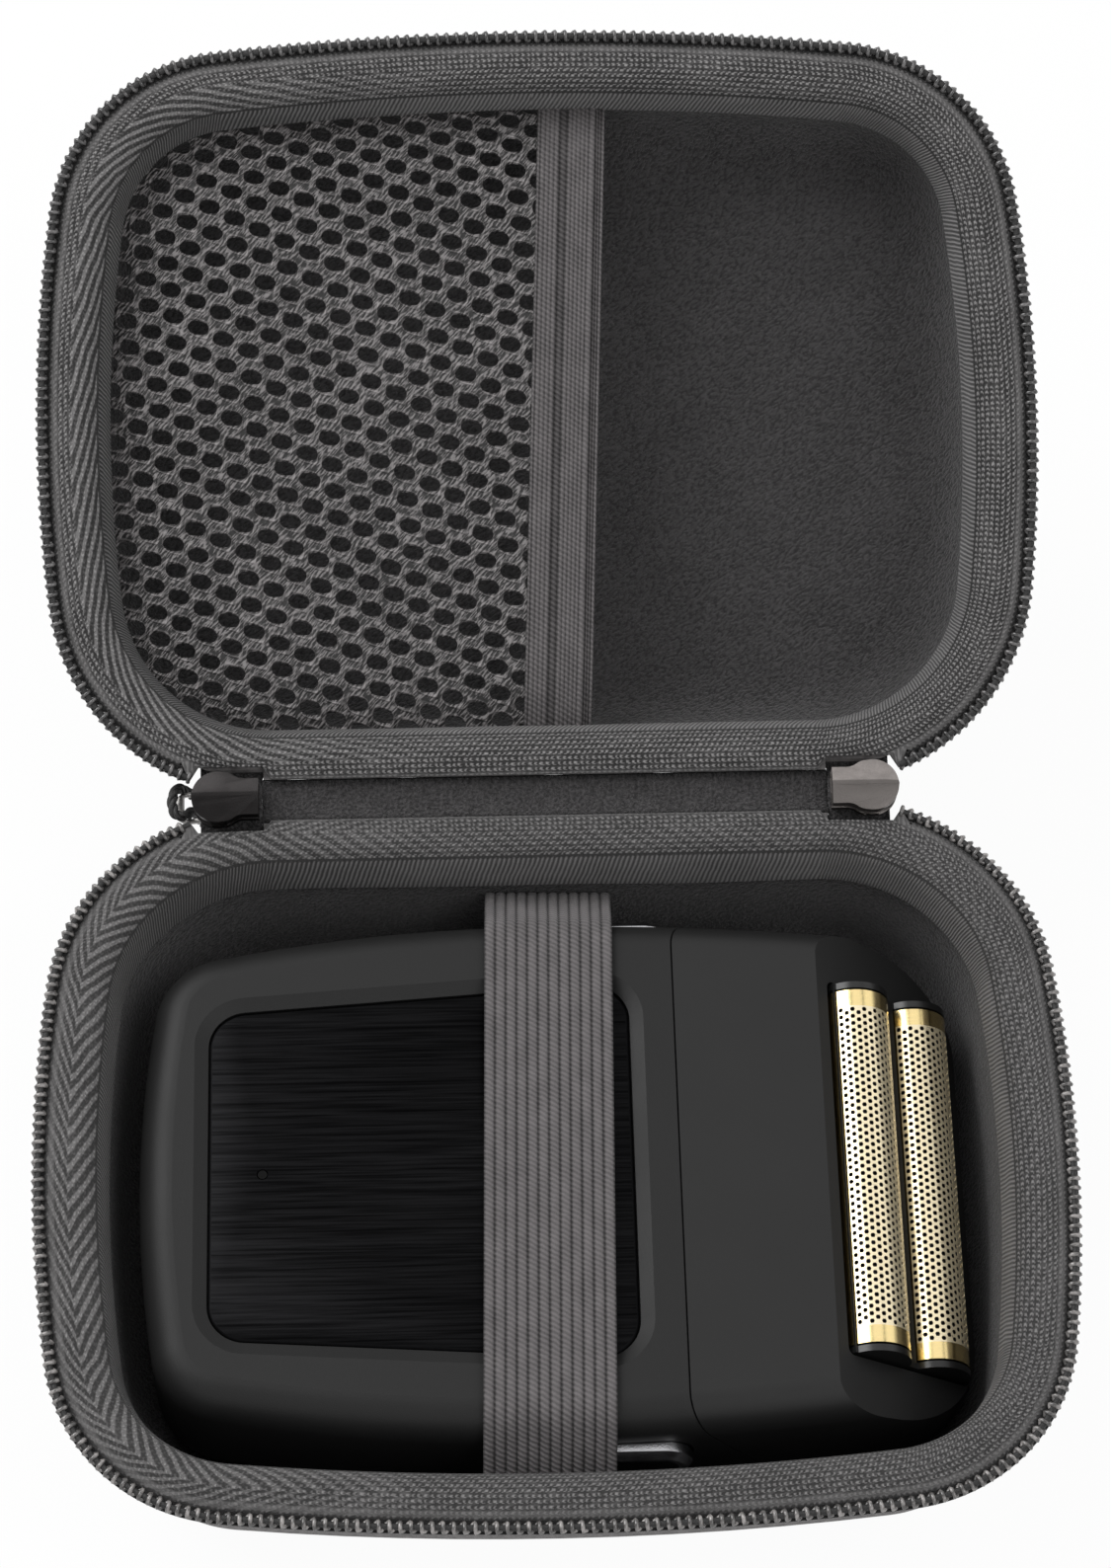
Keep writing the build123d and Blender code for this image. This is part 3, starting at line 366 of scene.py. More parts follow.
def face_way(bm, way):
    """Turn an open sheet so that its faces look along a direction on the whole."""
    bmesh.ops.recalc_face_normals(bm, faces=bm.faces)
    total = sum((face.normal * face.calc_area() for face in bm.faces), Vector())
    if total.dot(Vector(way)) < 0:
        bmesh.ops.reverse_faces(bm, faces=bm.faces)


def merged_copy(node):
    """A node's mesh in millimetres, with its loose triangles joined into whole faces."""
    bm = bmesh.new()
    bm.from_mesh(NODES[node].data)
    bmesh.ops.scale(bm, vec=(1 / MM, 1 / MM, 1 / MM), verts=bm.verts)
    bmesh.ops.remove_doubles(bm, verts=bm.verts, dist=0.002)
    flat = radians(0.5)
    bmesh.ops.dissolve_limit(bm, angle_limit=flat, verts=bm.verts, edges=bm.edges)
    return bm


def round_edges(bm, offset):
    """Bevel every sharp edge."""
    limit = radians(SHARP_ANGLE)
    sharp = [edge for edge in bm.edges if edge.is_manifold and edge.calc_face_angle() > limit]
    bmesh.ops.bevel(
        bm, geom=sharp, offset=offset, offset_type="OFFSET", segments=2,
        profile=0.5, affect="EDGES", material=-1, clamp_overlap=True,
    )


def extrude_edges(bm, edges, shift):
    """Carry edges along a straight line, with new faces behind them."""
    made = bmesh.ops.extrude_edge_only(bm, edges=edges)["geom"]
    verts = [item for item in made if isinstance(item, bmesh.types.BMVert)]
    bmesh.ops.translate(bm, verts=verts, vec=shift)


def close_ends(bm):
    """Fill the open ends of a swept solid."""
    rims = [edge for edge in bm.edges if edge.is_boundary]
    bmesh.ops.holes_fill(bm, edges=rims, sides=0)
    bmesh.ops.recalc_face_normals(bm, faces=bm.faces)


def show(piece, body, stands_for):
    """Hide the nodes that a piece stands for, and let the piece ride its body."""
    if stands_for:
        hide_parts(*stands_for)
    if body:
        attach(piece, body)
    return piece


def make_piece(name, bm, place, finishes, body, stands_for=(), crease=SHARP_ANGLE):
    """A piece in metres from a bmesh in millimetres that is drawn in a frame."""
    bmesh.ops.transform(bm, matrix=Matrix.Scale(MM, 4) @ place, verts=bm.verts)
    mesh = bpy.data.meshes.new(name)
    bm.to_mesh(mesh)
    bm.free()
    if "custom_normal" in mesh.attributes:
        mesh.attributes.remove(mesh.attributes["custom_normal"])
    for finish in finishes:
        mesh.materials.append(finish)
    mesh.shade_smooth()
    mesh.set_sharp_from_angle(angle=radians(crease))
    piece = bpy.data.objects.new(name, mesh)
    bpy.context.scene.collection.objects.link(piece)
    return show(piece, body, stands_for)


def thicken(piece, thick):
    """Give a sheet its thickness, behind the side that its faces look from."""
    wall = piece.modifiers.new("Thickness", "SOLIDIFY")
    wall.thickness = thick * MM
    wall.offset = -1.0


def subdivide(piece):
    """Round a piece off with a subdivision surface."""
    smooth = piece.modifiers.new("Smooth", "SUBSURF")
    smooth.levels = 1
    smooth.render_levels = 1


def tube_mesh(name, lines, radius, resolution=1):
    """Mesh of round tubes along lines of points, all in metres."""
    curve = bpy.data.curves.new(name, "CURVE")
    curve.dimensions = "3D"
    curve.bevel_depth = radius
    curve.bevel_resolution = resolution
    curve.use_fill_caps = True
    for line in lines:
        spline = curve.splines.new("POLY")
        spline.points.add(len(line) - 1)
        for point, place in zip(spline.points, line):
            point.co = (*place, 1.0)
    holder = bpy.data.objects.new(name, curve)
    mesh = bpy.data.meshes.new_from_object(holder)
    bpy.data.objects.remove(holder)
    bpy.data.curves.remove(curve)
    mesh.shade_smooth()
    return mesh


def add_mesh_piece(name, mesh, finish, body, stands_for=()):
    """A piece from a mesh that is already in metres and in place."""
    mesh.name = name
    mesh.materials.clear()
    mesh.materials.append(finish)
    piece = bpy.data.objects.new(name, mesh)
    bpy.context.scene.collection.objects.link(piece)
    return show(piece, body, stands_for)


def refinish(finish, *nodes):
    """Give nodes whose shape stays a finish of their own."""
    for node in nodes:
        mesh = NODES[node].data
        mesh.materials.clear()
        mesh.materials.append(finish)


# ---- Shader tools --------------------------------------------------------------------
class Signal:
    """One socket in a node tree; arithmetic on it adds Math nodes."""

    def __init__(self, tree, socket=None):
        self.tree = tree
        self.socket = socket

    def node(self, kind, settings=None, values=None, output=0):
        """Add a node, give it its settings and the values or links of its sockets."""
        made = self.tree.nodes.new(kind)
        for name, setting in (settings or {}).items():
            setattr(made, name, setting)
        for name, value in (values or {}).items():
            if isinstance(value, Signal):
                self.tree.links.new(value.socket, made.inputs[name])
            else:
                made.inputs[name].default_value = value
        return Signal(self.tree, made.outputs[output])

    def math(self, operation, *values):
        """Add one Math node."""
        inputs = dict(enumerate(values))
        return self.node("ShaderNodeMath", {"operation": operation}, inputs)

    def __add__(self, other):
        return self.math("ADD", self, other)

    def __sub__(self, other):
        return self.math("SUBTRACT", self, other)

    def __rsub__(self, other):
        return self.math("SUBTRACT", other, self)

    def __mul__(self, other):
        return self.math("MULTIPLY", self, other)

    def __truediv__(self, other):
        return self.math("DIVIDE", self, other)

    def __gt__(self, other):
        return self.math("GREATER_THAN", self, other)

    def __lt__(self, other):
        return self.math("LESS_THAN", self, other)

    __radd__ = __add__
    __rmul__ = __mul__

    def floor(self):
        """Whole part below the value."""
        return self.math("FLOOR", self)

    def wave(self):
        """0 to 1 and back once for each unit of the value."""
        return self.math("SINE", self * (2 * pi)) * 0.5 + 0.5

    def between(self, low, high):
        """0 at low and 1 at high, held beyond them, whichever is the larger."""
        values = {"Value": self, "From Min": low, "From Max": high}
        settings = {"interpolation_type": "SMOOTHSTEP"}
        return self.node("ShaderNodeMapRange", settings, values)

    def mix(self, first, second):
        """A colour between two colours, by this value."""
        values = {0: self, 6: first, 7: second}
        return self.node("ShaderNodeMix", {"data_type": "RGBA"}, values, output=2)


def opaque(colour):
    """A colour with its fourth channel."""
    return (*colour, 1.0)


def display(red, green, blue):
    """Linear colour from the levels, 0 to 255, that a screen shows."""
    levels = [channel / 255 for channel in (red, green, blue)]
    return tuple(((level + 0.055) / 1.055) ** 2.4 for level in levels)


def new_material(name):
    """An empty procedural material: it, its first signal and its shader's inputs."""
    material = bpy.data.materials.new(name)
    material.use_nodes = True
    tree = material.node_tree
    return material, Signal(tree), tree.nodes["Principled BSDF"].inputs


def give(signal, inputs, **values):
    """Set or link the shader's sockets; underscores in names stand for spaces."""
    for name, value in values.items():
        socket = inputs[name.replace("_", " ")]
        if isinstance(value, Signal):
            signal.tree.links.new(value.socket, socket)
        elif isinstance(value, tuple):
            socket.default_value = opaque(value)
        else:
            socket.default_value = value


def model_place(signal):
    """Three signals: a point's X, Y and Z on the piece, in millimetres."""
    place = signal.node("ShaderNodeTexCoord", output=3)
    in_mm = signal.node(
        "ShaderNodeVectorMath", {"operation": "SCALE"}, {0: place, "Scale": 1 / MM}
    )
    return [signal.node("ShaderNodeSeparateXYZ", None, {0: in_mm}, output=n) for n in range(3)]


def weave_place(signal):
    """Two signals: how far a point is along its piece and across it, in millimetres."""
    place = signal.node("ShaderNodeUVMap", {"uv_map": "weave"})
    return [signal.node("ShaderNodeSeparateXYZ", None, {0: place}, output=n) for n in range(2)]


def speckle(signal, x, y, z=0.0, detail=2.0):
    """Noise from 0 to 1 at a place that is given in units of its grain."""
    place = signal.node("ShaderNodeCombineXYZ", None, {0: x, 1: y, 2: z})
    values = {"Vector": place, "Scale": 1.0, "Detail": detail}
    return signal.node("ShaderNodeTexNoise", None, values)


def bumped(signal, height, depth, strength=1.0):
    """A normal from a height of 0 to 1 that stands for a depth in millimetres."""
    values = {"Height": height, "Distance": depth * MM, "Strength": strength}
    return signal.node("ShaderNodeBump", None, values)


# ---- Finishes: cloth -----------------------------------------------------------------
def herringbone_tape(name, light, dark, pitch, slants, left, least, outermost):
    """Woven zip binding: short slanting floats, gathered in two bands of ribs.

    The ribs of the bands meet in a chevron, and show best along the case's left side.
    """
    material, signal, inputs = new_material(name)
    along, across = weave_place(signal)
    sizes = weave_sizes()
    round_rim = along * (pi / RIM_HALF)
    whole = round(2 * RIM_HALF / pitch) / (2 * RIM_HALF)
    wander = speckle(signal, along * 0.16, across * 0.3) * 0.7
    past_turn = across.between(sizes.chevron - 0.25, sizes.chevron + 0.25)
    outer = (along * whole + across * slants[0] + wander).wave()
    inner = (along * whole - across * slants[1] + wander).wave()
    rib = (outer + past_turn * (inner - outer)).between(0.22, 0.85)
    left_side = (signal.math("SINE", round_rim) * left).between(0.1, 0.8)
    share = left_side * (0.85 - least) * (past_turn * (1.0 - outermost) + outermost) + least
    row = (across - sizes.chevron) / sizes.tape_row
    shift = signal.math("ABSOLUTE", row.floor()) * 0.3
    lean = signal.math("COSINE", round_rim * 2.0) * 0.42
    wobble = speckle(signal, along * 0.9, across * 0.9, detail=1.0)
    column = (along / sizes.tape_float + lean * across + shift + wobble).wave()
    dash = column.between(0.15, 0.95) * (row + wobble * 0.25).wave().between(0.0, 0.6)
    upright = (along / 0.64 + across * 0.4 + wander).wave()
    plain = across.between(3.5, 3.0) * 0.6
    skirt = across.between(9.0, 9.5)
    cloth = dash * 0.85 + share * (rib * (dash * 0.4 + 0.55) - dash * 0.85)
    height = cloth + plain * (0.36 - cloth)
    height = height + skirt * (upright * 0.7 - height)
    # Painted shade on the skirt along the case's left side, and faint painted light on it along the
    # right.
    shade = skirt * (left_side * 0.3 - 0.06)
    fibre = speckle(signal, along * 3.5, across * 5.0, detail=3.0)
    cloud = speckle(signal, along * 0.1, across * 0.3)
    # Painted shade under the teeth, and a painted shadow line in the fold down to the skirt.
    painted_groove_shade = across.between(2.6, 2.1) + across.between(8.8, 9.1) * across.between(9.5, 9.2)
    bright = height * 1.15 + fibre * 0.45 + cloud * 0.35 - 0.4 - painted_groove_shade * 0.5 - shade
    colour = bright.mix(opaque(dark), opaque(light))
    normal = bumped(signal, height + fibre * 0.2, 0.26)
    give(signal, inputs, Base_Color=colour, Roughness=0.85, Normal=normal)
    give(signal, inputs, Specular_IOR_Level=0.3, Sheen_Weight=0.12, Sheen_Roughness=0.5)
    return material


def ribbed_webbing(name, light, dark):
    """Elastic webbing: yarns that slant over each lengthwise rib, with painted shade between the
    ribs.
    """
    material, signal, inputs = new_material(name)
    along, across = weave_place(signal)
    crown = signal.node("ShaderNodeAttribute", {"attribute_name": "crown"}, output=2)
    wander = speckle(signal, along * 0.5, across * 0.7) * 0.45
    yarn = (along / weave_sizes().webbing_yarn + across * 0.75 + wander).wave()
    fibre = speckle(signal, along * 6.0, across * 6.0, detail=3.0)
    patch = speckle(signal, along * 0.22, across * 0.35)
    # Painted shade in the valleys between the ribs.
    painted_groove_shade = crown.between(0.85, 0.2)
    bright = yarn * 0.35 + fibre * 0.5 + patch * 0.5 - painted_groove_shade * 0.5 - 0.08
    colour = bright.mix(opaque(dark), opaque(light))
    normal = bumped(signal, yarn * 0.7 + fibre * 0.25, 0.14)
    give(signal, inputs, Base_Color=colour, Roughness=0.8, Normal=normal)
    give(signal, inputs, Specular_IOR_Level=0.3, Sheen_Weight=0.12, Sheen_Roughness=0.5)
    return material


def knitted_mesh(name, light, dark):
    """Knitted mesh: a bright thread round each hole, and slanting ties between the holes."""
    material, signal, inputs = new_material(name)
    along, across = weave_place(signal)
    rim = signal.node("ShaderNodeAttribute", {"attribute_name": "rim"}, output=2)
    lean = radians(48)
    over = along * cos(lean) + across * sin(lean)
    down = across * cos(lean) - along * sin(lean)
    tie = speckle(signal, over * 0.8, down * 3.6, detail=1.0).between(0.42, 0.62)
    knots = speckle(signal, over * 1.6, down * 2.2, 4.0)
    cloud = speckle(signal, along * 0.06, across * 0.06)
    thread = rim.between(0.35, 0.6) * rim.between(1.05, 0.85)
    bright = tie * 0.7 + thread * 0.25 + knots * 0.45 + cloud * 0.45 - 0.5
    colour = bright.mix(opaque(dark), opaque(light))
    normal = bumped(signal, tie * 0.7 + thread + knots * 0.4, 0.2)
    give(signal, inputs, Base_Color=colour, Roughness=0.5, Normal=normal)
    give(signal, inputs, Specular_IOR_Level=0.45)
    return material


def brushed_felt(name, light, dark, way):
    """Napped felt: short fibres laid one way, over soft cloudy patches."""
    material, signal, inputs = new_material(name)
    x, y, z = model_place(signal)
    lean = radians(way)
    over = x * cos(lean) + y * sin(lean)
    down = y * cos(lean) - x * sin(lean)
    fibre = speckle(signal, over * 1.5, down * 3.0, z * 2.0, detail=4.0).between(0.32, 0.7)
    fine = speckle(signal, x * 6.0, y * 6.0, z * 6.0, detail=2.0)
    fleck = speckle(signal, x * 2.6, y * 2.6, z * 2.6, detail=1.0).between(0.62, 0.75)
    cloud = speckle(signal, x * 0.11, y * 0.11, z * 0.11)
    bright = fibre * 0.55 + fine * 0.4 + cloud * 0.35 + fleck * 0.35 - 0.24
    colour = bright.mix(opaque(dark), opaque(light))
    normal = bumped(signal, fibre + fine * 0.5, 0.2)
    give(signal, inputs, Base_Color=colour, Roughness=0.95, Normal=normal)
    give(signal, inputs, Specular_IOR_Level=0.15, Sheen_Weight=0.2, Sheen_Roughness=0.6)
    return material


def shell_cloth(name, light, dark):
    """Cloth laminated on the moulded shell: an even close grain on every side."""
    material, signal, inputs = new_material(name)
    x, y, z = model_place(signal)
    close = 1.0 / weave_sizes().shell_grain
    grain = speckle(signal, x * close, y * close, z * close, detail=1.0)
    fibre = speckle(signal, x * 4.0, y * 4.0, z * 4.0, detail=3.0)
    bright = grain.between(0.3, 0.7) * 0.45 + fibre * 0.6 - 0.05
    colour = bright.mix(opaque(dark), opaque(light))
    normal = bumped(signal, grain + fibre * 0.4, 0.16)
    give(signal, inputs, Base_Color=colour, Roughness=0.85, Normal=normal)
    give(signal, inputs, Specular_IOR_Level=0.3, Sheen_Weight=0.1, Sheen_Roughness=0.5)
    return material


def hinge_weave(name, light, dark):
    """Hinge cloth: a napped face over faint ribs, with painted shade towards its sewn edges, under
    the rims.
    """
    material, signal, inputs = new_material(name)
    along, across = weave_place(signal)
    rib = speckle(signal, along * 1.6, across * 0.4, detail=1.0).between(0.3, 0.7)
    nap = speckle(signal, along * 2.4, across * 2.0, detail=2.0).between(0.3, 0.7)
    fibre = speckle(signal, along * 6.0, across * 5.0, detail=3.0)
    # Painted shade along the cloth's sewn edges, where the rims shadow it.
    edge = (across * across).between(3.0, 8.0)
    bright = rib * 0.2 + nap * 0.4 + fibre * 0.7 - edge * 0.3 - 0.2
    colour = bright.mix(opaque(dark), opaque(light))
    normal = bumped(signal, nap + fibre * 0.6, 0.25)
    give(signal, inputs, Base_Color=colour, Roughness=0.9, Normal=normal)
    give(signal, inputs, Specular_IOR_Level=0.2, Sheen_Weight=0.15)
    return material


def twisted_yarn(name, light, dark):
    """Cord yarn: fine filaments with a dull shine."""
    material, signal, inputs = new_material(name)
    x, y, z = model_place(signal)
    fibre = speckle(signal, x * 5.0, y * 5.0, z * 5.0, detail=3.0)
    colour = fibre.between(0.3, 0.75).mix(opaque(dark), opaque(light))
    normal = bumped(signal, fibre, 0.08)
    give(signal, inputs, Base_Color=colour, Roughness=0.6, Normal=normal)
    return material


# ---- Finishes: metal and plastic -----------------------------------------------------
def moulded_plastic(name, colour, roughness, grain=0.02, specular=0.5, coat=0.0):
    """Moulded plastic with a fine spark-eroded grain and faint handling marks."""
    material, signal, inputs = new_material(name)
    x, y, z = model_place(signal)
    pebble = speckle(signal, x * 6.0, y * 6.0, z * 6.0, detail=2.0)
    rub = speckle(signal, x * 0.09, y * 0.09, z * 0.09)
    darker = tuple(channel * 0.8 for channel in colour)
    tint = (rub * 0.7 + pebble * 0.3).mix(opaque(darker), opaque(colour))
    rough = rub * 0.12 + (roughness - 0.06)
    normal = bumped(signal, pebble, grain)
    give(signal, inputs, Base_Color=tint, Roughness=rough, Normal=normal)
    give(signal, inputs, Specular_IOR_Level=specular, Coat_Weight=coat)
    return material


def brushed_metal(
    name, colour, roughness, streaks=(0.25, 14.0), depth=0.01, rubbed=0.25, metallic=1.0
):
    """Metal brushed along X: hairlines of differing length and shine."""
    material, signal, inputs = new_material(name)
    x, y, z = model_place(signal)
    line = speckle(signal, x * streaks[0], y * streaks[1], z * streaks[1], detail=4.0)
    broad = speckle(signal, x * 0.05, y * 2.2, z * 2.2)
    hair = line * 0.65 + broad * 0.35
    darker = tuple(channel * (1 - rubbed) for channel in colour)
    tint = hair.between(0.3, 0.7).mix(opaque(darker), opaque(colour))
    rough = hair * 0.25 + (roughness - 0.12)
    normal = bumped(signal, hair, depth)
    give(signal, inputs, Base_Color=tint, Metallic=metallic, Roughness=rough, Normal=normal)
    return material


def cast_metal(name, colour, roughness, metallic=1.0, dull=0.0):
    """Plated die-casting: slightly uneven, with painted shade in front of the hinge line."""
    material, signal, inputs = new_material(name)
    x, y, z = model_place(signal)
    wavy = speckle(signal, x * 0.5, y * 0.5, z * 0.5, detail=3.0)
    grit = speckle(signal, x * 5.0, y * 5.0, z * 5.0, detail=2.0)
    darker = tuple(channel * 0.82 for channel in colour)
    tint = (wavy * 0.7 + grit * 0.3).between(0.35, 0.65).mix(opaque(darker), opaque(colour))
    # Painted shade on the metal in front of the hinge line, by the share given.
    dulled = tuple(channel * 0.42 for channel in colour)
    painted_front_shade = y.between(CASE_SPAN / 2 + 0.15, CASE_SPAN / 2 - 0.15) * dull
    tint = painted_front_shade.mix(tint, opaque(dulled))
    rough = wavy * 0.2 + (roughness - 0.1)
    normal = bumped(signal, wavy * 0.5 + grit, 0.03)
    give(signal, inputs, Base_Color=tint, Metallic=metallic, Roughness=rough, Normal=normal)
    return material


def nylon_teeth(name, light, dark):
    """Nylon monofilament: dark, smooth and shiny, with lighter scuffed loops."""
    material, signal, inputs = new_material(name)
    x, y, z = model_place(signal)
    scuff = speckle(signal, x * 0.8, y * 0.8, z * 0.8, detail=2.0)
    colour = scuff.between(0.4, 0.7).mix(opaque(dark), opaque(light))
    give(signal, inputs, Base_Color=colour, Roughness=scuff * 0.15 + 0.17)
    give(signal, inputs, Specular_IOR_Level=0.9)
    return material


def circuit_lacquer(name, colour):
    """Solder mask: green lacquer with fine raised tracks."""
    material, signal, inputs = new_material(name)
    x, y, _ = model_place(signal)
    track = (x * 0.55).wave().between(0.8, 0.95) + (y * 0.4).wave().between(0.85, 0.97)
    pale = tuple(channel * 1.8 + 0.02 for channel in colour)
    tint = track.mix(opaque(colour), opaque(pale))
    give(signal, inputs, Base_Color=tint, Roughness=0.3, Normal=bumped(signal, track, 0.04))
    return material


# ---- Settings ------------------------------------------------------------------------
class CaseWeaveSettings(bpy.types.PropertyGroup):
    """Sizes of the weaves and of the zip."""

    tape_float: FloatProperty(
        name="Tape float", description="Distance between the tape's floats along a row, in mm",
        default=0.78, min=0.2, max=4.0,
    )
    tape_row: FloatProperty(
        name="Tape row", description="Distance between the tape's rows of floats, in mm",
        default=0.72, min=0.2, max=4.0,
    )
    chevron: FloatProperty(
        name="Chevron", description="Where the tape's ribs turn back, in mm from its outer edge",
        default=5.0, min=0.0, max=16.0,
    )
    webbing_yarn: FloatProperty(
        name="Webbing yarn", description="Distance between yarns along the webbing, in mm",
        default=0.72, min=0.2, max=4.0,
    )
    shell_grain: FloatProperty(
        name="Shell grain", description="Size of the grain in the shell's cloth, in mm",
        default=1.1, min=0.3, max=4.0,
    )
    tooth_pitch: FloatProperty(
        name="Tooth pitch", description="Distance between the zip's teeth, in mm",
        default=1.34, min=0.5, max=4.0,
    )
    tooth_wire: FloatProperty(
        name="Tooth wire", description="Diameter of the coil's wire, in mm",
        default=0.6, min=0.2, max=1.0,
    )


class CaseColourSettings(bpy.types.PropertyGroup):
    """Colours of the case and the shaver."""

    tape: FloatVectorProperty(
        name="Tape", description="Lightest colour of the zip's binding",
        subtype="COLOR", default=display(152, 150, 150), min=0.0, max=1.0,
    )
    webbing: FloatVectorProperty(
        name="Webbing", description="Lightest colour of the strap and the pocket's band",
        subtype="COLOR", default=display(119, 115, 116), min=0.0, max=1.0,
    )
    felt: FloatVectorProperty(
        name="Felt", description="Lightest colour of the lining",
        subtype="COLOR", default=display(80, 78, 79), min=0.0, max=1.0,
    )
    housing: FloatVectorProperty(
        name="Housing", description="Colour of the shaver's plastic",
        subtype="COLOR", default=display(31, 31, 31), min=0.0, max=1.0,
    )
    gold: FloatVectorProperty(
        name="Foils", description="Colour of the gold-plated foils",
        subtype="COLOR", default=(1.0, 0.79, 0.38), min=0.0, max=1.0,
    )


class CaseStageSettings(bpy.types.PropertyGroup):
    """Camera and light."""

    elevation: FloatProperty(
        name="Elevation", description="Camera above the horizon",
        subtype="ANGLE", default=radians(61.69),
    )
    yaw: FloatProperty(
        name="Yaw", description="Camera round the case, from its front",
        subtype="ANGLE", default=radians(-2.75),
    )
    roll: FloatProperty(
        name="Roll", description="Camera about its own axis",
        subtype="ANGLE", default=radians(1.34),
    )
    distance: FloatProperty(
        name="Distance", description="Camera to the point it is aimed at",
        subtype="DISTANCE", unit="LENGTH", default=629.7 * MM,
    )
    lens: FloatProperty(
        name="Lens", description="Focal length for a 36 mm sensor, in mm",
        default=107.12, min=10.0, max=400.0,
    )
    ambient: FloatProperty(
        name="Ambient light", description="Strength of the light from all round",
        default=0.62, min=0.0, max=2.0,
    )
    key: FloatProperty(
        name="Key light", description="Power of the large lamp above the left rear",
        subtype="POWER", default=9.0, min=0.0, max=100.0,
    )


def weave_sizes():
    """The weave and zip settings that the panel shows."""
    return bpy.context.scene.case_weave


def colours():
    """The colour settings that the panel shows."""
    return bpy.context.scene.case_colours


# ---- Operators: stage ----------------------------------------------------------------
class CASE_OT_stage(bpy.types.Operator):
    """Set up the camera, the floor and the light"""

    bl_idname = "zip_case.stage"
    bl_label = "Stage"

    aim = (1.39, 53.54, 34.0)
    floor_half = 1500.0

    def add_camera(self, settings):
        """Camera that looks at the aim point."""
        level = cos(settings.elevation)
        back = Vector(
            (sin(settings.yaw) * level, -cos(settings.yaw) * level, sin(settings.elevation))
        )
        right = Vector((cos(settings.yaw), sin(settings.yaw), 0))
        up = back.cross(right)
        tilted_right = right * cos(settings.roll) + up * sin(settings.roll)
        place = placed((0, 0, 0), tilted_right, back)
        place.translation = Vector(self.aim) * MM + back * settings.distance
        data = bpy.data.cameras.new("camera")
        data.sensor_width = 36.0
        data.lens = settings.lens
        data.clip_start = 0.01
        data.clip_end = 20.0
        camera = bpy.data.objects.new("camera", data)
        camera.matrix_world = place
        bpy.context.scene.collection.objects.link(camera)
        bpy.context.scene.camera = camera

    def add_floor(self):
        """Pale floor that keeps a faint shadow."""
        bm = bmesh.new()
        bmesh.ops.create_grid(bm, x_segments=1, y_segments=1, size=self.floor_half * MM)
        mesh = bpy.data.meshes.new("floor")
        bm.to_mesh(mesh)
        bm.free()
        material, signal, inputs = new_material("floor_pale")
        tree = material.node_tree
        seen = signal.node("ShaderNodeLightPath")
        mirrored = signal.node("ShaderNodeLightPath", output=3)
        passed = signal.node("ShaderNodeLightPath", output=6)
        whole = seen.math("MAXIMUM", seen.math("MAXIMUM", seen, mirrored), passed)
        give(signal, inputs, Base_Color=(0.86, 0.86, 0.86), Roughness=0.9)
        lit = Signal(tree, tree.nodes["Principled BSDF"].outputs[0])
        glow = signal.node("ShaderNodeEmission", None, {"Strength": 1.0})
        both = signal.node("ShaderNodeMixShader", None, {0: whole * 0.95, 1: lit, 2: glow})
        tree.links.new(both.socket, tree.nodes["Material Output"].inputs[0])
        mesh.materials.append(material)
        ground = bpy.data.objects.new("floor", mesh)
        bpy.context.scene.collection.objects.link(ground)

    thin_strip = 26.0            # where each strip stands, in degrees round the view's axis
    wide_strip = 69.0
    third_strip = 13.0

    def add_sky(self, settings):
        """Even studio light, with three dark strips that metal reflects as lines."""
        world = bpy.data.worlds.new("studio")
        world.use_nodes = True
        bpy.context.scene.world = world
        tree = world.node_tree
        signal = Signal(tree)
        way = signal.node("ShaderNodeTexCoord")
        x, y, z = [signal.node("ShaderNodeSeparateXYZ", None, {0: way}, output=n) for n in range(3)]
        swing = signal.math("ARCTAN2", x, z) * (180 / pi)
        near = (y + 0.1) * 9.0
        thin = signal.math("ABSOLUTE", swing - near - self.thin_strip).between(3.4, 2.2)
        wide = signal.math("ABSOLUTE", swing - near * 0.5 - self.wide_strip).between(8.0, 5.0)
        third = signal.math("ABSOLUTE", swing - near + self.third_strip).between(2.6, 1.6)
        left = swing.between(-28.0, -60.0)
        front = y.between(0.16, -0.06) * y.between(-0.5, -0.3)
        strips = 1.0 - thin * 0.8 - wide * 0.6 - third * 0.7 * (y > -0.2) - left * 0.1
        strips = strips * (1.0 - front * 0.6)
        seen = signal.node("ShaderNodeLightPath")
        mirrored = signal.node("ShaderNodeLightPath", output=3)
        plain = 1.0 - seen
        level = seen + plain * (mirrored * strips + (1.0 - mirrored) * settings.ambient)
        shade = tree.nodes["Background"]
        tree.links.new(level.socket, shade.inputs["Strength"])
        shade.inputs["Color"].default_value = (1.0, 1.0, 1.0, 1.0)

    def add_lamp(self, name, place, power, size):
        """Large soft lamp aimed at the case."""
        data = bpy.data.lights.new(name, "AREA")
        data.shape = "DISK"
        data.size = size * MM
        data.energy = power
        lamp = bpy.data.objects.new(name, data)
        lamp.location = Vector(place) * MM
        way = (Vector(self.aim) - Vector(place)).normalized()
        lamp.rotation_euler = way.to_track_quat("-Z", "Y").to_euler()
        bpy.context.scene.collection.objects.link(lamp)

    def execute(self, context):
        settings = context.scene.case_stage
        self.add_camera(settings)
        self.add_floor()
        self.add_sky(settings)
        self.add_lamp("key", (-700, 500, 900), settings.key, 900)
        self.add_lamp("fill", (600, -300, 1000), settings.key * 0.3, 700)
        context.scene.view_settings.view_transform = "Standard"
        return {"FINISHED"}


def finish(maker, name, *values, **options):
    """A material by its name, made the first time that it is asked for."""
    return bpy.data.materials.get(name) or maker(name, *values, **options)


def tint(colour, share):
    """A share of a colour's brightness."""
    return tuple(channel * share for channel in colour)


def webbing_finish():
    """Elastic in the webbing colour."""
    light = tuple(colours().webbing)
    return finish(ribbed_webbing, "elastic_webbing", light, tint(light, 0.16))


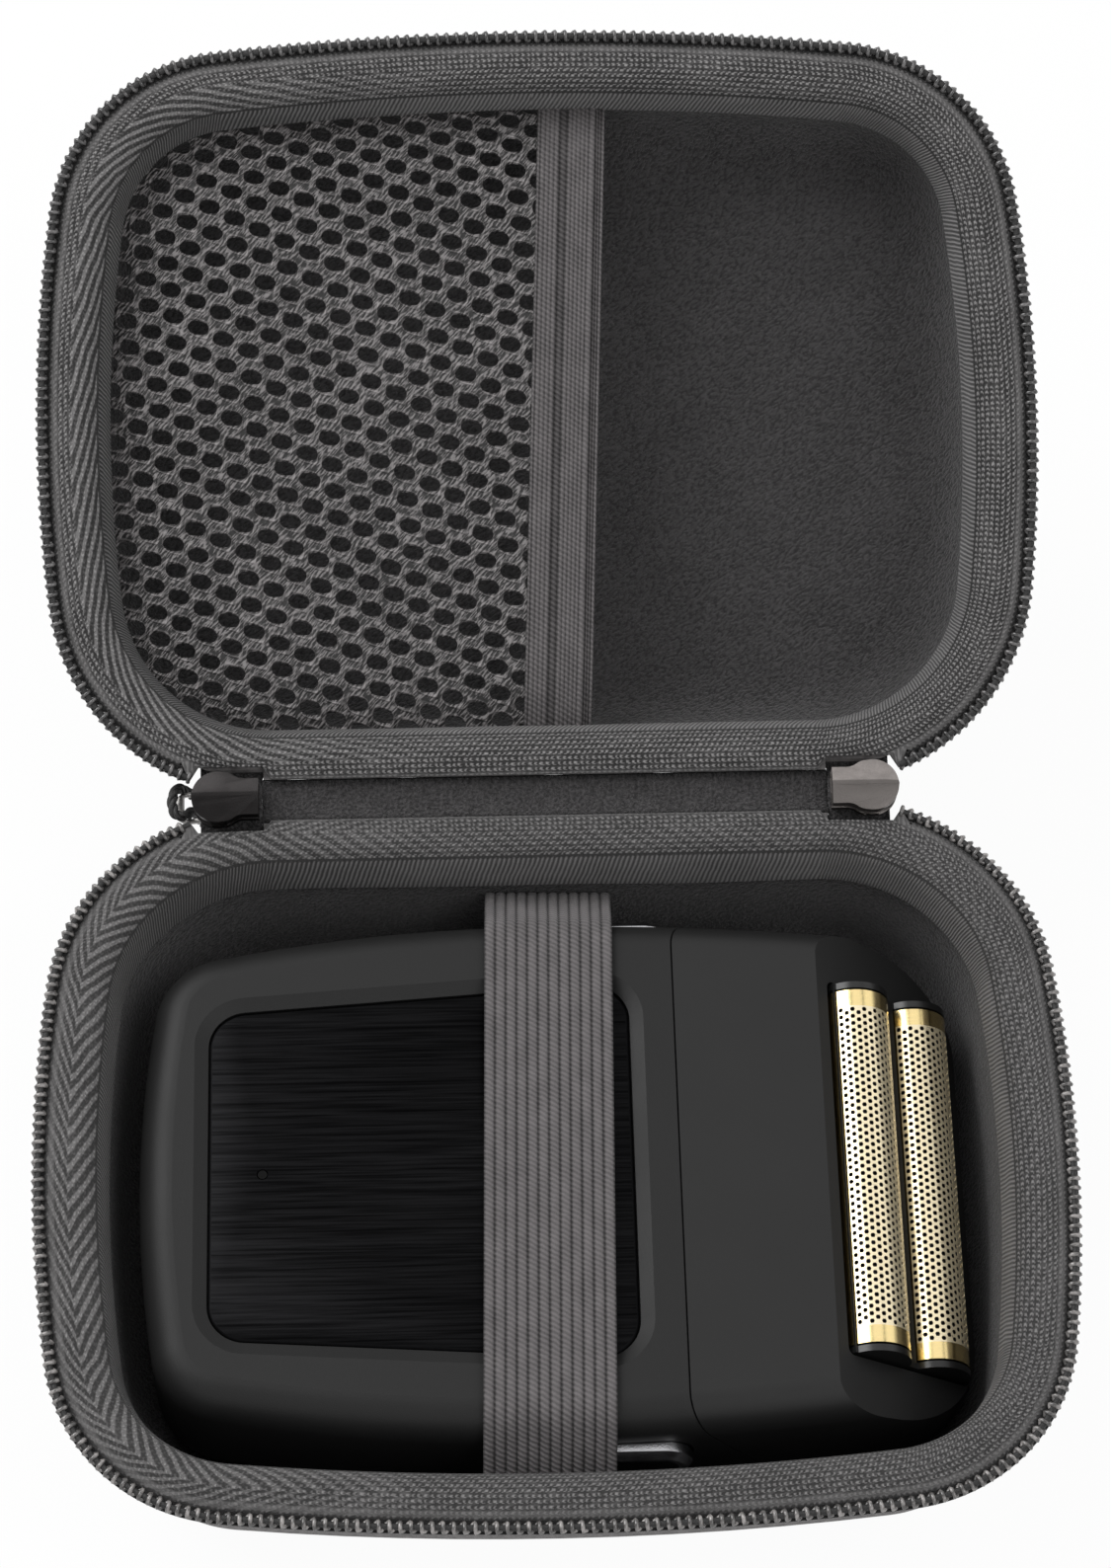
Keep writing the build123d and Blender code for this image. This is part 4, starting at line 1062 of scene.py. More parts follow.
# ---- Operators: case -----------------------------------------------------------------
class CASE_OT_shells(bpy.types.Operator):
    """Cover both moulded shells with closely grained cloth"""

    bl_idname = "zip_case.shells"
    bl_label = "Shells"

    def execute(self, context):
        light = display(132, 129, 129)
        cloth = finish(shell_cloth, "shell_grain_cloth", light, tint(light, 0.3))
        refinish(cloth, "base_shell", "lid_shell")
        return {"FINISHED"}


class CASE_OT_linings(bpy.types.Operator):
    """Line both halves with felt"""

    bl_idname = "zip_case.linings"
    bl_label = "Linings"

    arc_steps = 6

    def section(self, depth):
        """Felt from the rim down to the start of the floor."""
        draft = radians(FELT_DRAFT)
        side = depth - FELT_RADIUS * (1 - sin(draft))
        foot = FELT_INSET + (side - FELT_DROP) * tan(draft)
        centre = (foot + FELT_RADIUS * cos(draft), depth - FELT_RADIUS)
        points = [(FELT_INSET, FELT_DROP), ((FELT_INSET + foot) / 2, (FELT_DROP + side) / 2)]
        for step in range(self.arc_steps + 1):
            angle = -draft + (draft + pi / 2) * step / self.arc_steps
            across = centre[0] - FELT_RADIUS * cos(angle)
            points.append((across, centre[1] + FELT_RADIUS * sin(angle)))
        return points

    def execute(self, context):
        light = tuple(colours().felt)
        felt = finish(brushed_felt, "lining_nap", light, tint(light, 0.16), 35)
        for half, place in HALF_PLACES.items():
            bm = bmesh.new()
            depth = HALF_HEIGHTS[half] - SHELL_FLOOR
            sweep_rim(bm, self.section(depth), closed=False, step=2.5)
            low = [edge for edge in bm.edges if edge.is_boundary and edge.verts[0].co.z < -6]
            bmesh.ops.holes_fill(bm, edges=low, sides=0)
            face_way(bm, (0, 0, 1))
            piece = make_piece(
                half + "_lining_felt", bm, place, [felt], half,
                [half + "_lining"], crease=60,
            )
            thicken(piece, FELT_THICK)
        return {"FINISHED"}


class CASE_OT_tapes(bpy.types.Operator):
    """Bind both rims with herringbone tape that turns down inside as a skirt"""

    bl_idname = "zip_case.tapes"
    bl_label = "Zip tapes"

    # Brightness, darkness, rib pitch, ribs met per millimetre across in each band, which way
    # the left side lies, the ribs' least share in the pattern, and their share in the outer
    # band to that in the inner one.
    weaves = {
        # The two brightnesses are painted light: the base's tape is a shaded copy of the lid's.
        "base": (0.7, 0.09, 2.7, (0.95, 0.6), -1.0, 0.22, 0.8),
        "lid": (0.86, 0.07, 4.2, (0.9, 0.86), 1.0, 0.14, 0.15),
    }

    hinge_room = (48.0, 2.75)    # half width and depth that the tape leaves to the hinge cloth
    skirt_level = -5.5           # the skirt wavers below this level
    waver = 0.16

    def settle(self, bm):
        """Clear the hinge and the sliders, and let the skirt's edge waver."""
        half, room = self.hinge_room
        for vert in bm.verts:
            inset, _ = rim_inset(vert.co.x, vert.co.y)
            beside = abs(vert.co.x)
            rear = CASE_SPAN / 2 - vert.co.y
            if vert.co.y > 0 and beside < half and inset < room:
                vert.co.y = CASE_SPAN / 2 - room
            if SLIDER_BAY[0] < beside < SLIDER_BAY[1] and 0 < rear < BAY_INSET:
                vert.co.y = CASE_SPAN / 2 - BAY_INSET
            if vert.co.z < self.skirt_level:
                swell = sin(vert.co.x * 0.19 + 1.0) + sin(vert.co.y * 0.23 + vert.co.x * 0.07)
                vert.co.z += self.waver * swell

    def execute(self, context):
        light = tuple(colours().tape)
        for half, place in HALF_PLACES.items():
            share, dark, *weave = self.weaves[half]
            twill = finish(
                herringbone_tape, half + "_tape_herringbone", tint(light, share),
                tint(light, dark), *weave,
            )
            bm = bmesh.new()
            sweep = sweep_rim(bm, TAPE_SECTION, closed=True, step=1.4)
            write_weave(bm, sweep)
            self.settle(bm)
            bmesh.ops.recalc_face_normals(bm, faces=bm.faces)
            make_piece(
                half + "_tape_binding", bm, place, [twill], half,
                [half + "_zip_tape"], crease=75,
            )
        return {"FINISHED"}


class CASE_OT_teeth(bpy.types.Operator):
    """Wind the nylon coil of each half of the zip"""

    bl_idname = "zip_case.teeth"
    bl_label = "Zip teeth"

    turn_steps = 8
    cord_radius = 0.45
    # The base's nylon is painted lighter and the lid's darker: lit and shaded copies of one nylon.
    nylons = {"base": ((150, 146, 144), (70, 68, 67)), "lid": ((100, 98, 98), (38, 37, 37))}
    coil_reach = 0.93
    coil_rise = 0.6
    crossing = 0.1           # share of the pitch that a loop's upper run crosses

    def execute(self, context):
        sizes = weave_sizes()
        # The core cord is real, but it is made dark and thick to stand in for the shade in the
        # coil's gaps.
        core_shade_yarn = finish(twisted_yarn, "teeth_filler", display(40, 39, 39), display(20, 20, 20))
        wire = sizes.tooth_wire / 2
        centre = RIM_ARCS[0][0]
        swing = acos((COIL_START - centre.x) / REAR_CORNER)
        start = REAR_STRAIGHT + REAR_CORNER * (pi / 2 - swing)
        length = 2 * (RIM_HALF - start)
        turns = round(length / sizes.tooth_pitch)
        for half, place in HALF_PLACES.items():
            light, dark = self.nylons[half]
            nylon = finish(nylon_teeth, half + "_teeth_nylon", display(*light), display(*dark))
            wound = []
            laid = []
            for step in range(turns * self.turn_steps + 1):
                turn, part = divmod(step / self.turn_steps, 1)
                over = min(part, 0.5) * 2 * self.crossing
                under = max(part - 0.5, 0) * 2 * (1 - self.crossing)
                point, way = rim_place(start + length * (turn + over + under) / turns)
                angle = 2 * pi * part
                inset = COIL_INSET - (self.coil_reach - wire) * cos(angle)
                level = -COIL_DROP + (self.coil_rise - wire) * sin(angle)
                flat = point - way * inset
                wound.append((place @ Vector((flat.x, flat.y, level))) * MM)
                if step % self.turn_steps == 0:
                    flat = point - way * COIL_INSET
                    laid.append((place @ Vector((flat.x, flat.y, -COIL_DROP - 0.1))) * MM)
            coil = tube_mesh("coil", [wound], wire * MM)
            cord = tube_mesh("cord", [laid], self.cord_radius * MM)
            stands_for = [half + "_zip_coil"]
            add_mesh_piece(half + "_teeth", coil, nylon, half, stands_for)
            add_mesh_piece(half + "_teeth_cord", cord, core_shade_yarn, half)
        return {"FINISHED"}


class CASE_OT_hinge(bpy.types.Operator):
    """Hang the two hinge cloths between the halves, and tuck a tab into each slider"""

    bl_idname = "zip_case.hinge"
    bl_label = "Hinge cloths"

    blend_reach = 2.6
    cloth_steps = 96
    tab_steps = 16
    cross_steps = 10
    tab_thick = 0.35
    tab_lap = 0.35               # how far a tab reaches in beside the strip
    tab_clear = 0.05

    def execute(self, context):
        light = display(84, 82, 83)
        cloth = finish(hinge_weave, "hinge_cloth_weave", light, tint(light, 0.12))
        sheets = {"hinge_strip": (HINGE_STRIP, 0.5), "hinge_lining": (HINGE_LINING, 0.42)}
        for node, ((half, edge, middle), thick) in sheets.items():
            bm = bmesh.new()
            bmesh.ops.create_grid(
                bm, x_segments=self.cloth_steps, y_segments=self.cross_steps, size=1.0
            )
            for vert in bm.verts:
                along = vert.co.x * HINGE_HALF
                across = vert.co.y
                hang = edge + (middle - edge) * (1 - across ** 2)
                pucker = sin(along * 0.9) * 0.05 + sin(along * 0.37 + across * 2.0) * 0.09
                sides = 1 - across ** 4
                vert.co = (along, across * half, -hang + pucker * sides)
            write_flat_weave(bm)
            face_way(bm, (0, 0, 1))
            piece = make_piece(
                node + "_cloth", bm, HINGE_PLACE, [cloth], None, [node]
            )
            thicken(piece, thick)
            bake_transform(piece)
        for side, slider in ((-1, "left_slider"), (1, "right_slider")):
            bm = bmesh.new()
            bmesh.ops.create_grid(
                bm, x_segments=self.tab_steps, y_segments=self.cross_steps, size=1.0
            )
            for vert in bm.verts:
                across = vert.co.y * HINGE_TABS[1]
                beside = abs(across) > HINGE_STRIP[0] + self.tab_clear
                inner = HINGE_HALF - (self.tab_lap if beside else 0.0)
                along = inner + (vert.co.x + 1) / 2 * (HINGE_TABS[0] - inner)
                vert.co = (side * along, across, -HINGE_TABS[2])
            write_flat_weave(bm)
            face_way(bm, (0, 0, 1))
            piece = make_piece(slider + "_tab", bm, HINGE_PLACE, [cloth], slider)
            thicken(piece, self.tab_thick)
        return {"FINISHED"}


def pocket_level(x, y):
    """How deep the stretched pocket lies: it plunges at its sewn edge."""
    inset, _ = rim_inset(x, y)
    away = min(max((inset - POCKET_SEWN) / POCKET_SLOPE, 0.0), 1.0)
    return -POCKET_LEVEL - POCKET_PLUNGE * (1 - away) ** 2.2


BAND_PLACE = Matrix.Translation((-BAND_OFFSET, 0, 0)) @ Matrix.Rotation(
    -radians(BAND_SKEW), 4, "Z"
)


class CASE_OT_mesh_pocket(bpy.types.Operator):
    """Knit the lid's pocket from slanting oval holes"""

    bl_idname = "zip_case.mesh_pocket"
    bl_label = "Mesh pocket"

    first_hole = (78.2, -84.0)
    doublings = (5, 6)
    hole_tilt = 176.0
    thick = 0.42

    def one_hole(self, bm):
        """The net round one hole."""
        rim = bm.verts.layers.float.new("rim")
        bmesh.ops.create_grid(bm, x_segments=1, y_segments=1, size=0.5)
        bmesh.ops.subdivide_edges(bm, edges=bm.edges, cuts=2, use_grid_fill=False)
        lattice = Matrix((HOLE_STEP_ACROSS, HOLE_STEP_DOWN)).transposed().to_4x4()
        bmesh.ops.transform(bm, matrix=lattice, verts=bm.verts)
        bmesh.ops.inset_individual(bm, faces=bm.faces, thickness=0.3)
        hole = max(bm.faces, key=lambda face: len(face.verts))
        for vert in hole.verts:
            vert[rim] = 1.0
        tilt = Matrix.Rotation(radians(self.hole_tilt), 2)
        for vert in hole.verts:
            way = tilt.inverted() @ vert.co.xy
            angle = angle_of(way)
            vert.co.xy = tilt @ Vector((HOLE_HALVES[0] * cos(angle), HOLE_HALVES[1] * sin(angle)))
        bmesh.ops.delete(bm, geom=[hole], context="FACES_ONLY")

    def repeat(self, bm):
        """Double the net until it covers the pocket."""
        for step, doublings in zip((HOLE_STEP_ACROSS, HOLE_STEP_DOWN), self.doublings):
            for power in range(doublings):
                everything = bm.verts[:] + bm.edges[:] + bm.faces[:]
                made = bmesh.ops.duplicate(bm, geom=everything)["geom"]
                verts = [item for item in made if isinstance(item, bmesh.types.BMVert)]
                bmesh.ops.translate(bm, verts=verts, vec=(*(step * 2 ** power), 0))
        bmesh.ops.translate(bm, verts=bm.verts, vec=(*self.first_hole, 0))

    def execute(self, context):
        bm = bmesh.new()
        self.one_hole(bm)
        self.repeat(bm)
        to_band = BAND_PLACE.inverted()
        edge = BAND_WIDTH / 2 - 0.35
        spare = []
        for face in bm.faces:
            middle = face.calc_center_median()
            if rim_inset(middle.x, middle.y)[0] < 8.0 or (to_band @ middle).x < edge - 1.0:
                spare.append(face)
        bmesh.ops.delete(bm, geom=spare, context="FACES")
        bmesh.ops.remove_doubles(bm, verts=bm.verts, dist=0.02)
        for vert in bm.verts:
            inset, way = rim_inset(vert.co.x, vert.co.y)
            if inset < POCKET_SEWN:
                vert.co.xy -= way * (POCKET_SEWN - inset)
            beside = (to_band @ vert.co).x
            if beside < edge:
                vert.co.x += edge - beside
        bmesh.ops.dissolve_degenerate(bm, dist=0.02, edges=bm.edges)
        write_flat_weave(bm)
        area = sum(face.calc_area() for face in bm.faces)
        for vert in bm.verts:
            vert.co.z = pocket_level(vert.co.x, vert.co.y)
        face_way(bm, (0, 0, 1))
        knit = finish(
            knitted_mesh, "pocket_knit", display(150, 146, 146), display(30, 29, 29)
        )
        piece = make_piece(
            "lid_mesh_pocket", bm, LID_PLACE, [knit], "lid", ["mesh_pocket"],
            crease=180,
        )
        thicken(piece, self.thick)
        subdivide(piece)
        area * MM * MM
        return {"FINISHED"}


class CASE_OT_mesh_band(bpy.types.Operator):
    """Weave the elastic band along the pocket's mouth"""

    bl_idname = "zip_case.mesh_band"
    bl_label = "Pocket band"

    # From the band's left edge: where each zone ends, its height and its ribs.
    zones = [
        (0.5, 0.95, 1), (3.0, 1.12, 4), (4.2, 0.78, 1), (7.1, 1.12, 5), (7.9, 1.42, 1),
        (8.8, 0.9, 2), (9.2, 1.2, 1),
    ]
    rib_points = 5
    underside = -0.15

    def section(self):
        """Ribbed section, closed underneath."""
        points = []
        before = 0.0
        for after, height, ribs in self.zones:
            count = ribs * self.rib_points
            for step in range(count):
                share = (step + 0.5) / count
                crown = abs(sin(pi * ribs * share)) ** 0.6
                place = BAND_WIDTH / 2 - before - (after - before) * share
                # Lower zones get a smaller crown, so the webbing paints more shade on them.
                light = crown * min(height / 1.1, 1.1) ** 2
                points.append((place, height - 0.35 + 0.32 * crown, light))
            before = after
        low = (-BAND_WIDTH / 2, self.underside, 0.0), (BAND_WIDTH / 2, self.underside, 0.0)
        return points + list(low)

    def execute(self, context):
        bm = bmesh.new()
        reach = CASE_SPAN / 2 - 8.6
        section = self.section()
        points = [(x, -reach, z) for x, z, _ in section]
        sweep = Sweep(bm, points, closed=True, crowns=[crown for _, _, crown in section])
        sweep.straight((0, 2 * reach, 0), 70)
        write_weave(bm, sweep, 1)
        close_ends(bm)
        bmesh.ops.transform(bm, matrix=BAND_PLACE, verts=bm.verts)
        for vert in bm.verts:
            vert.co.z += pocket_level(vert.co.x, vert.co.y) - 0.35
        elastic = webbing_finish()
        make_piece(
            "lid_pocket_band", bm, LID_PLACE, [elastic], "lid", ["mesh_band"]
        )
        return {"FINISHED"}


class CASE_OT_strap(bpy.types.Operator):
    """Stretch the ribbed elastic over the shaver, from each sewn end to the middle"""

    bl_idname = "zip_case.strap"
    bl_label = "Strap"

    rib_points = 8
    middle = -0.8
    bend_reach = 34.195
    lifted_reach = 39.0
    straight_steps = 24
    bend_steps = 8
    rib_height = 0.3

    def section(self, level):
        """Ribbed top and plain underside."""
        points = []
        count = STRAP_RIBS * self.rib_points
        for step in range(count + 1):
            share = step / count
            crown = abs(sin(pi * STRAP_RIBS * share)) ** 0.6
            top = level + STRAP_THICK / 2 - self.rib_height + self.rib_height * crown
            points.append(((share - 0.5) * STRAP_WIDTH, top, crown))
        under = level - STRAP_THICK / 2
        return points + [(STRAP_WIDTH / 2, under, 0.0), (-STRAP_WIDTH / 2, under, 0.0)]

    def half_strap(self, side):
        """Half of the strap, swept from the middle to a sewn end."""
        bm = bmesh.new()
        corner = self.middle + side * self.bend_reach
        drop = STRAP_LEVEL - STRAP_END[1]
        run = abs(side * STRAP_END[0] - corner)
        slope = atan2(drop, run)
        tangent = STRAP_BEND * tan(slope / 2)
        section = self.section(STRAP_LEVEL)
        points = [(x, self.middle, z) for x, z, _ in section]
        sweep = Sweep(bm, points, closed=True, crowns=[crown for _, _, crown in section])
        flat = abs(corner - self.middle) - tangent
        sweep.straight((0, side * flat, 0), self.straight_steps)
        turned = self.middle + side * flat
        centre = (0, turned, STRAP_LEVEL - STRAP_BEND)
        sweep.turn(centre, (1, 0, 0), -side * slope, self.bend_steps, STRAP_BEND)
        left = sqrt(drop ** 2 + run ** 2) - tangent
        fall = (0, side * left * cos(slope), -left * sin(slope))
        sweep.straight(fall, self.straight_steps)
        write_weave(bm, sweep, side)
        close_ends(bm)
        return bm, flat + STRAP_BEND * slope + left

    def execute(self, context):
        turned = Matrix.Rotation(-radians(STRAP_SKEW), 4, "Z")
        place = BASE_PLACE @ Matrix.Translation((STRAP_OFFSET, 0, 0)) @ turned
        elastic = webbing_finish()
        for name, side in (("strap_rear", 1), ("strap_front", -1)):
            bm, length = self.half_strap(side)
            stands_for = ["shaver_strap"]
            piece = make_piece(
                name, bm, place, [elastic], None, stands_for, crease=65
            )
            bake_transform(piece)
            length * MM
        return {"FINISHED"}


class CASE_OT_sliders(bpy.types.Operator):
    """Finish the two zip sliders with ridged, rounded plates"""

    bl_idname = "zip_case.sliders"
    bl_label = "Sliders"

    ridge = 0.6
    # The left slider's darker colour is painted shade: both sliders are the same metal.
    looks = {
        "left_slider": ("slider_dark", 62, 60, 60),
        "right_slider": ("slider_warm", 150, 144, 141),
    }

    def execute(self, context):
        to_hinge = HINGE_PLACE.inverted()
        for node, (slot, *levels) in self.looks.items():
            bm = merged_copy(node)
            bmesh.ops.transform(bm, matrix=to_hinge, verts=bm.verts)
            everything = bm.verts[:] + bm.edges[:] + bm.faces[:]
            bmesh.ops.bisect_plane(
                bm, geom=everything, dist=0.001, plane_co=(0, 0, 0), plane_no=(0, 1, 0)
            )
            for vert in bm.verts:
                if abs(vert.co.y) < 0.01 and abs(vert.co.z) > SLIDER_TOP - 0.05:
                    vert.co.z += self.ridge if vert.co.z > 0 else -self.ridge
            round_edges(bm, 0.2)
            # Each slider also gets painted shade on its half in front of the hinge line.
            metal = finish(cast_metal, node + "_metal", display(*levels), 0.42, dull=0.9)
            make_piece(
                node + "_body", bm, HINGE_PLACE, [metal], node, [node], crease=35
            )
        return {"FINISHED"}


class CASE_OT_pulls(bpy.types.Operator):
    """Finish the metal pulls and the rubber grip"""

    bl_idname = "zip_case.pulls"
    bl_label = "Pulls"

    def grip(self):
        """Rubber grip with rings moulded round it."""
        bm = merged_copy("left_pull_grip")
        lows = [min(vert.co[axis] for vert in bm.verts) for axis in range(3)]
        highs = [max(vert.co[axis] for vert in bm.verts) for axis in range(3)]
        middle = (Vector(lows) + Vector(highs)) / 2
        pitch = (highs[2] - lows[2]) / GRIP_RINGS
        for cut in range(1, 2 * GRIP_RINGS):
            level = (0, 0, lows[2] + cut * pitch / 2)
            everything = bm.verts[:] + bm.edges[:] + bm.faces[:]
            bmesh.ops.bisect_plane(
                bm, geom=everything, dist=0.001, plane_co=level, plane_no=(0, 0, 1)
            )
        for vert in bm.verts:
            cut = round((vert.co.z - lows[2]) / pitch * 2)
            if cut % 2 == 1 and 2 < cut < 2 * GRIP_RINGS - 2:
                vert.co.x = middle.x + (vert.co.x - middle.x) * 0.84
                vert.co.y = middle.y + (vert.co.y - middle.y) * 0.9
        rubber = finish(moulded_plastic, "grip_rubber_black", display(34, 34, 34), 0.7, 0.03)
        make_piece(
            "left_pull_grip_rings", bm, Matrix(), [rubber], "left_pull",
            ["left_pull_grip"], crease=50,
        )

    def execute(self, context):
        metal = finish(cast_metal, "pull_nickel", display(150, 148, 146), 0.38)
        for node in ("left_pull", "right_pull"):
            bm = merged_copy(node)
            round_edges(bm, 0.16)
            make_piece(node + "_loop", bm, Matrix(), [metal], node, [node])
        self.grip()
        return {"FINISHED"}


class CASE_OT_pull_cord(bpy.types.Operator):
    """Loop the twisted cord from the left pull to its grip"""

    bl_idname = "zip_case.pull_cord"
    bl_label = "Pull cord"

    strands = 3
    strand_radius = 0.38
    strand_offset = 0.36
    lay_length = 4.2

    def centreline(self):
        """Points of the smooth route, in metres."""
        curve = bpy.data.curves.new("route", "CURVE")
        curve.dimensions = "3D"
        curve.resolution_u = 12
        spline = curve.splines.new("NURBS")
        spline.points.add(len(CORD_ROUTE) - 1)
        for point, place in zip(spline.points, CORD_ROUTE):
            point.co = (*(Vector(place) * MM), 1.0)
        spline.order_u = 3
        spline.use_endpoint_u = True
        holder = bpy.data.objects.new("route", curve)
        mesh = bpy.data.meshes.new_from_object(holder)
        points = [vert.co.copy() for vert in mesh.vertices]
        bpy.data.objects.remove(holder)
        bpy.data.curves.remove(curve)
        bpy.data.meshes.remove(mesh)
        return points

    def execute(self, context):
        line = self.centreline()
        strands = [[] for _ in range(self.strands)]
        beside = Vector((1, 0, 0))
        gone = 0.0
        for number, point in enumerate(line):
            before = line[max(number - 1, 0)]
            after = line[min(number + 1, len(line) - 1)]
            way = (after - before).normalized()
            beside = (beside - way * beside.dot(way)).normalized()
            other = way.cross(beside)
            gone += (point - before).length
            for strand, track in enumerate(strands):
                angle = 2 * pi * (gone / (self.lay_length * MM) + strand / self.strands)
                out = beside * cos(angle) + other * sin(angle)
                track.append(point + out * self.strand_offset * MM)
        mesh = tube_mesh("cord", strands, self.strand_radius * MM, 2)
        yarn = finish(twisted_yarn, "cord_yarn", display(58, 57, 57), display(16, 16, 16))
        piece = add_mesh_piece(
            "left_pull_cord_twist", mesh, yarn, "left_pull", ["left_pull_cord"]
        )
        return {"FINISHED"}


# ---- Operators: shaver ---------------------------------------------------------------
class CASE_OT_housing(bpy.types.Operator):
    """Finish the shaver's moulded housing and its head"""

    bl_idname = "zip_case.housing"
    bl_label = "Housing"

    def execute(self, context):
        colour = tuple(colours().housing)
        body = finish(moulded_plastic, "housing_soft_black", colour, 0.5, 0.02, 0.25)
        head = finish(moulded_plastic, "head_satin_black", colour, 0.45, 0.012, 0.3)
        caps = finish(moulded_plastic, "cassette_black", display(24, 24, 24), 0.3, 0.01)
        refinish(body, "shaver_front_shell", "shaver_back_shell")
        refinish(head, "head_frame")
        refinish(caps, "foil_cassette", "charge_socket")
        return {"FINISHED"}


class CASE_OT_face_plate(bpy.types.Operator):
    """Brush the dark face plate and chamfer its edge"""

    bl_idname = "zip_case.face_plate"
    bl_label = "Face plate"

    chamfer = 0.22

    def execute(self, context):
        bm = merged_copy("face_plate")
        top = max(vert.co.z for vert in bm.verts)
        rim = [
            edge for edge in bm.edges
            if all(vert.co.z > top - 0.01 for vert in edge.verts)
            and edge.calc_face_angle(0.0) > radians(35)
        ]
        bmesh.ops.bevel(
            bm, geom=rim, offset=self.chamfer, offset_type="OFFSET", segments=1,
            profile=0.5, affect="EDGES", material=-1, clamp_overlap=True,
        )
        for face in bm.faces:
            if 0.3 < face.normal.z < 0.95:
                face.material_index = 1
        brushed = finish(
            brushed_metal, "plate_brushed_black", display(25, 25, 26), 0.4, (0.08, 3.2), 0.01,
            0.75,
        )
        cut = finish(brushed_metal, "plate_cut_edge", display(22, 22, 23), 0.5)
        make_piece(
            "face_plate_brushed", bm, Matrix(), [brushed, cut], "shaver",
            ["face_plate"], crease=25,
        )
        glass = finish(moulded_plastic, "lamp_smoked", display(4, 4, 4), 0.35, 0.002, 0.1)
        refinish(glass, "lamp_lens")
        return {"FINISHED"}


class CASE_OT_buttons(bpy.types.Operator):
    """Finish the power button and the two chromed release buttons"""

    bl_idname = "zip_case.buttons"
    bl_label = "Buttons"

    def execute(self, context):
        chrome = finish(cast_metal, "release_chrome", display(205, 205, 208), 0.2)
        black = finish(moulded_plastic, "button_black_gloss", display(18, 18, 18), 0.25, 0.008)
        for node, side in (("release_button_rear", 1), ("release_button_front", -1)):
            bm = merged_copy(node)
            flat = [face for face in bm.faces if face.normal.y * side > 0.99]
            pad = max(flat, key=lambda face: face.calc_area())
            bmesh.ops.inset_individual(bm, faces=[pad], thickness=0.9, depth=-0.12)
            pad.material_index = 1
            make_piece(
                node + "_cap", bm, Matrix(), [chrome, black], node, [node],
                crease=30,
            )
        refinish(black, "power_button")
        return {"FINISHED"}


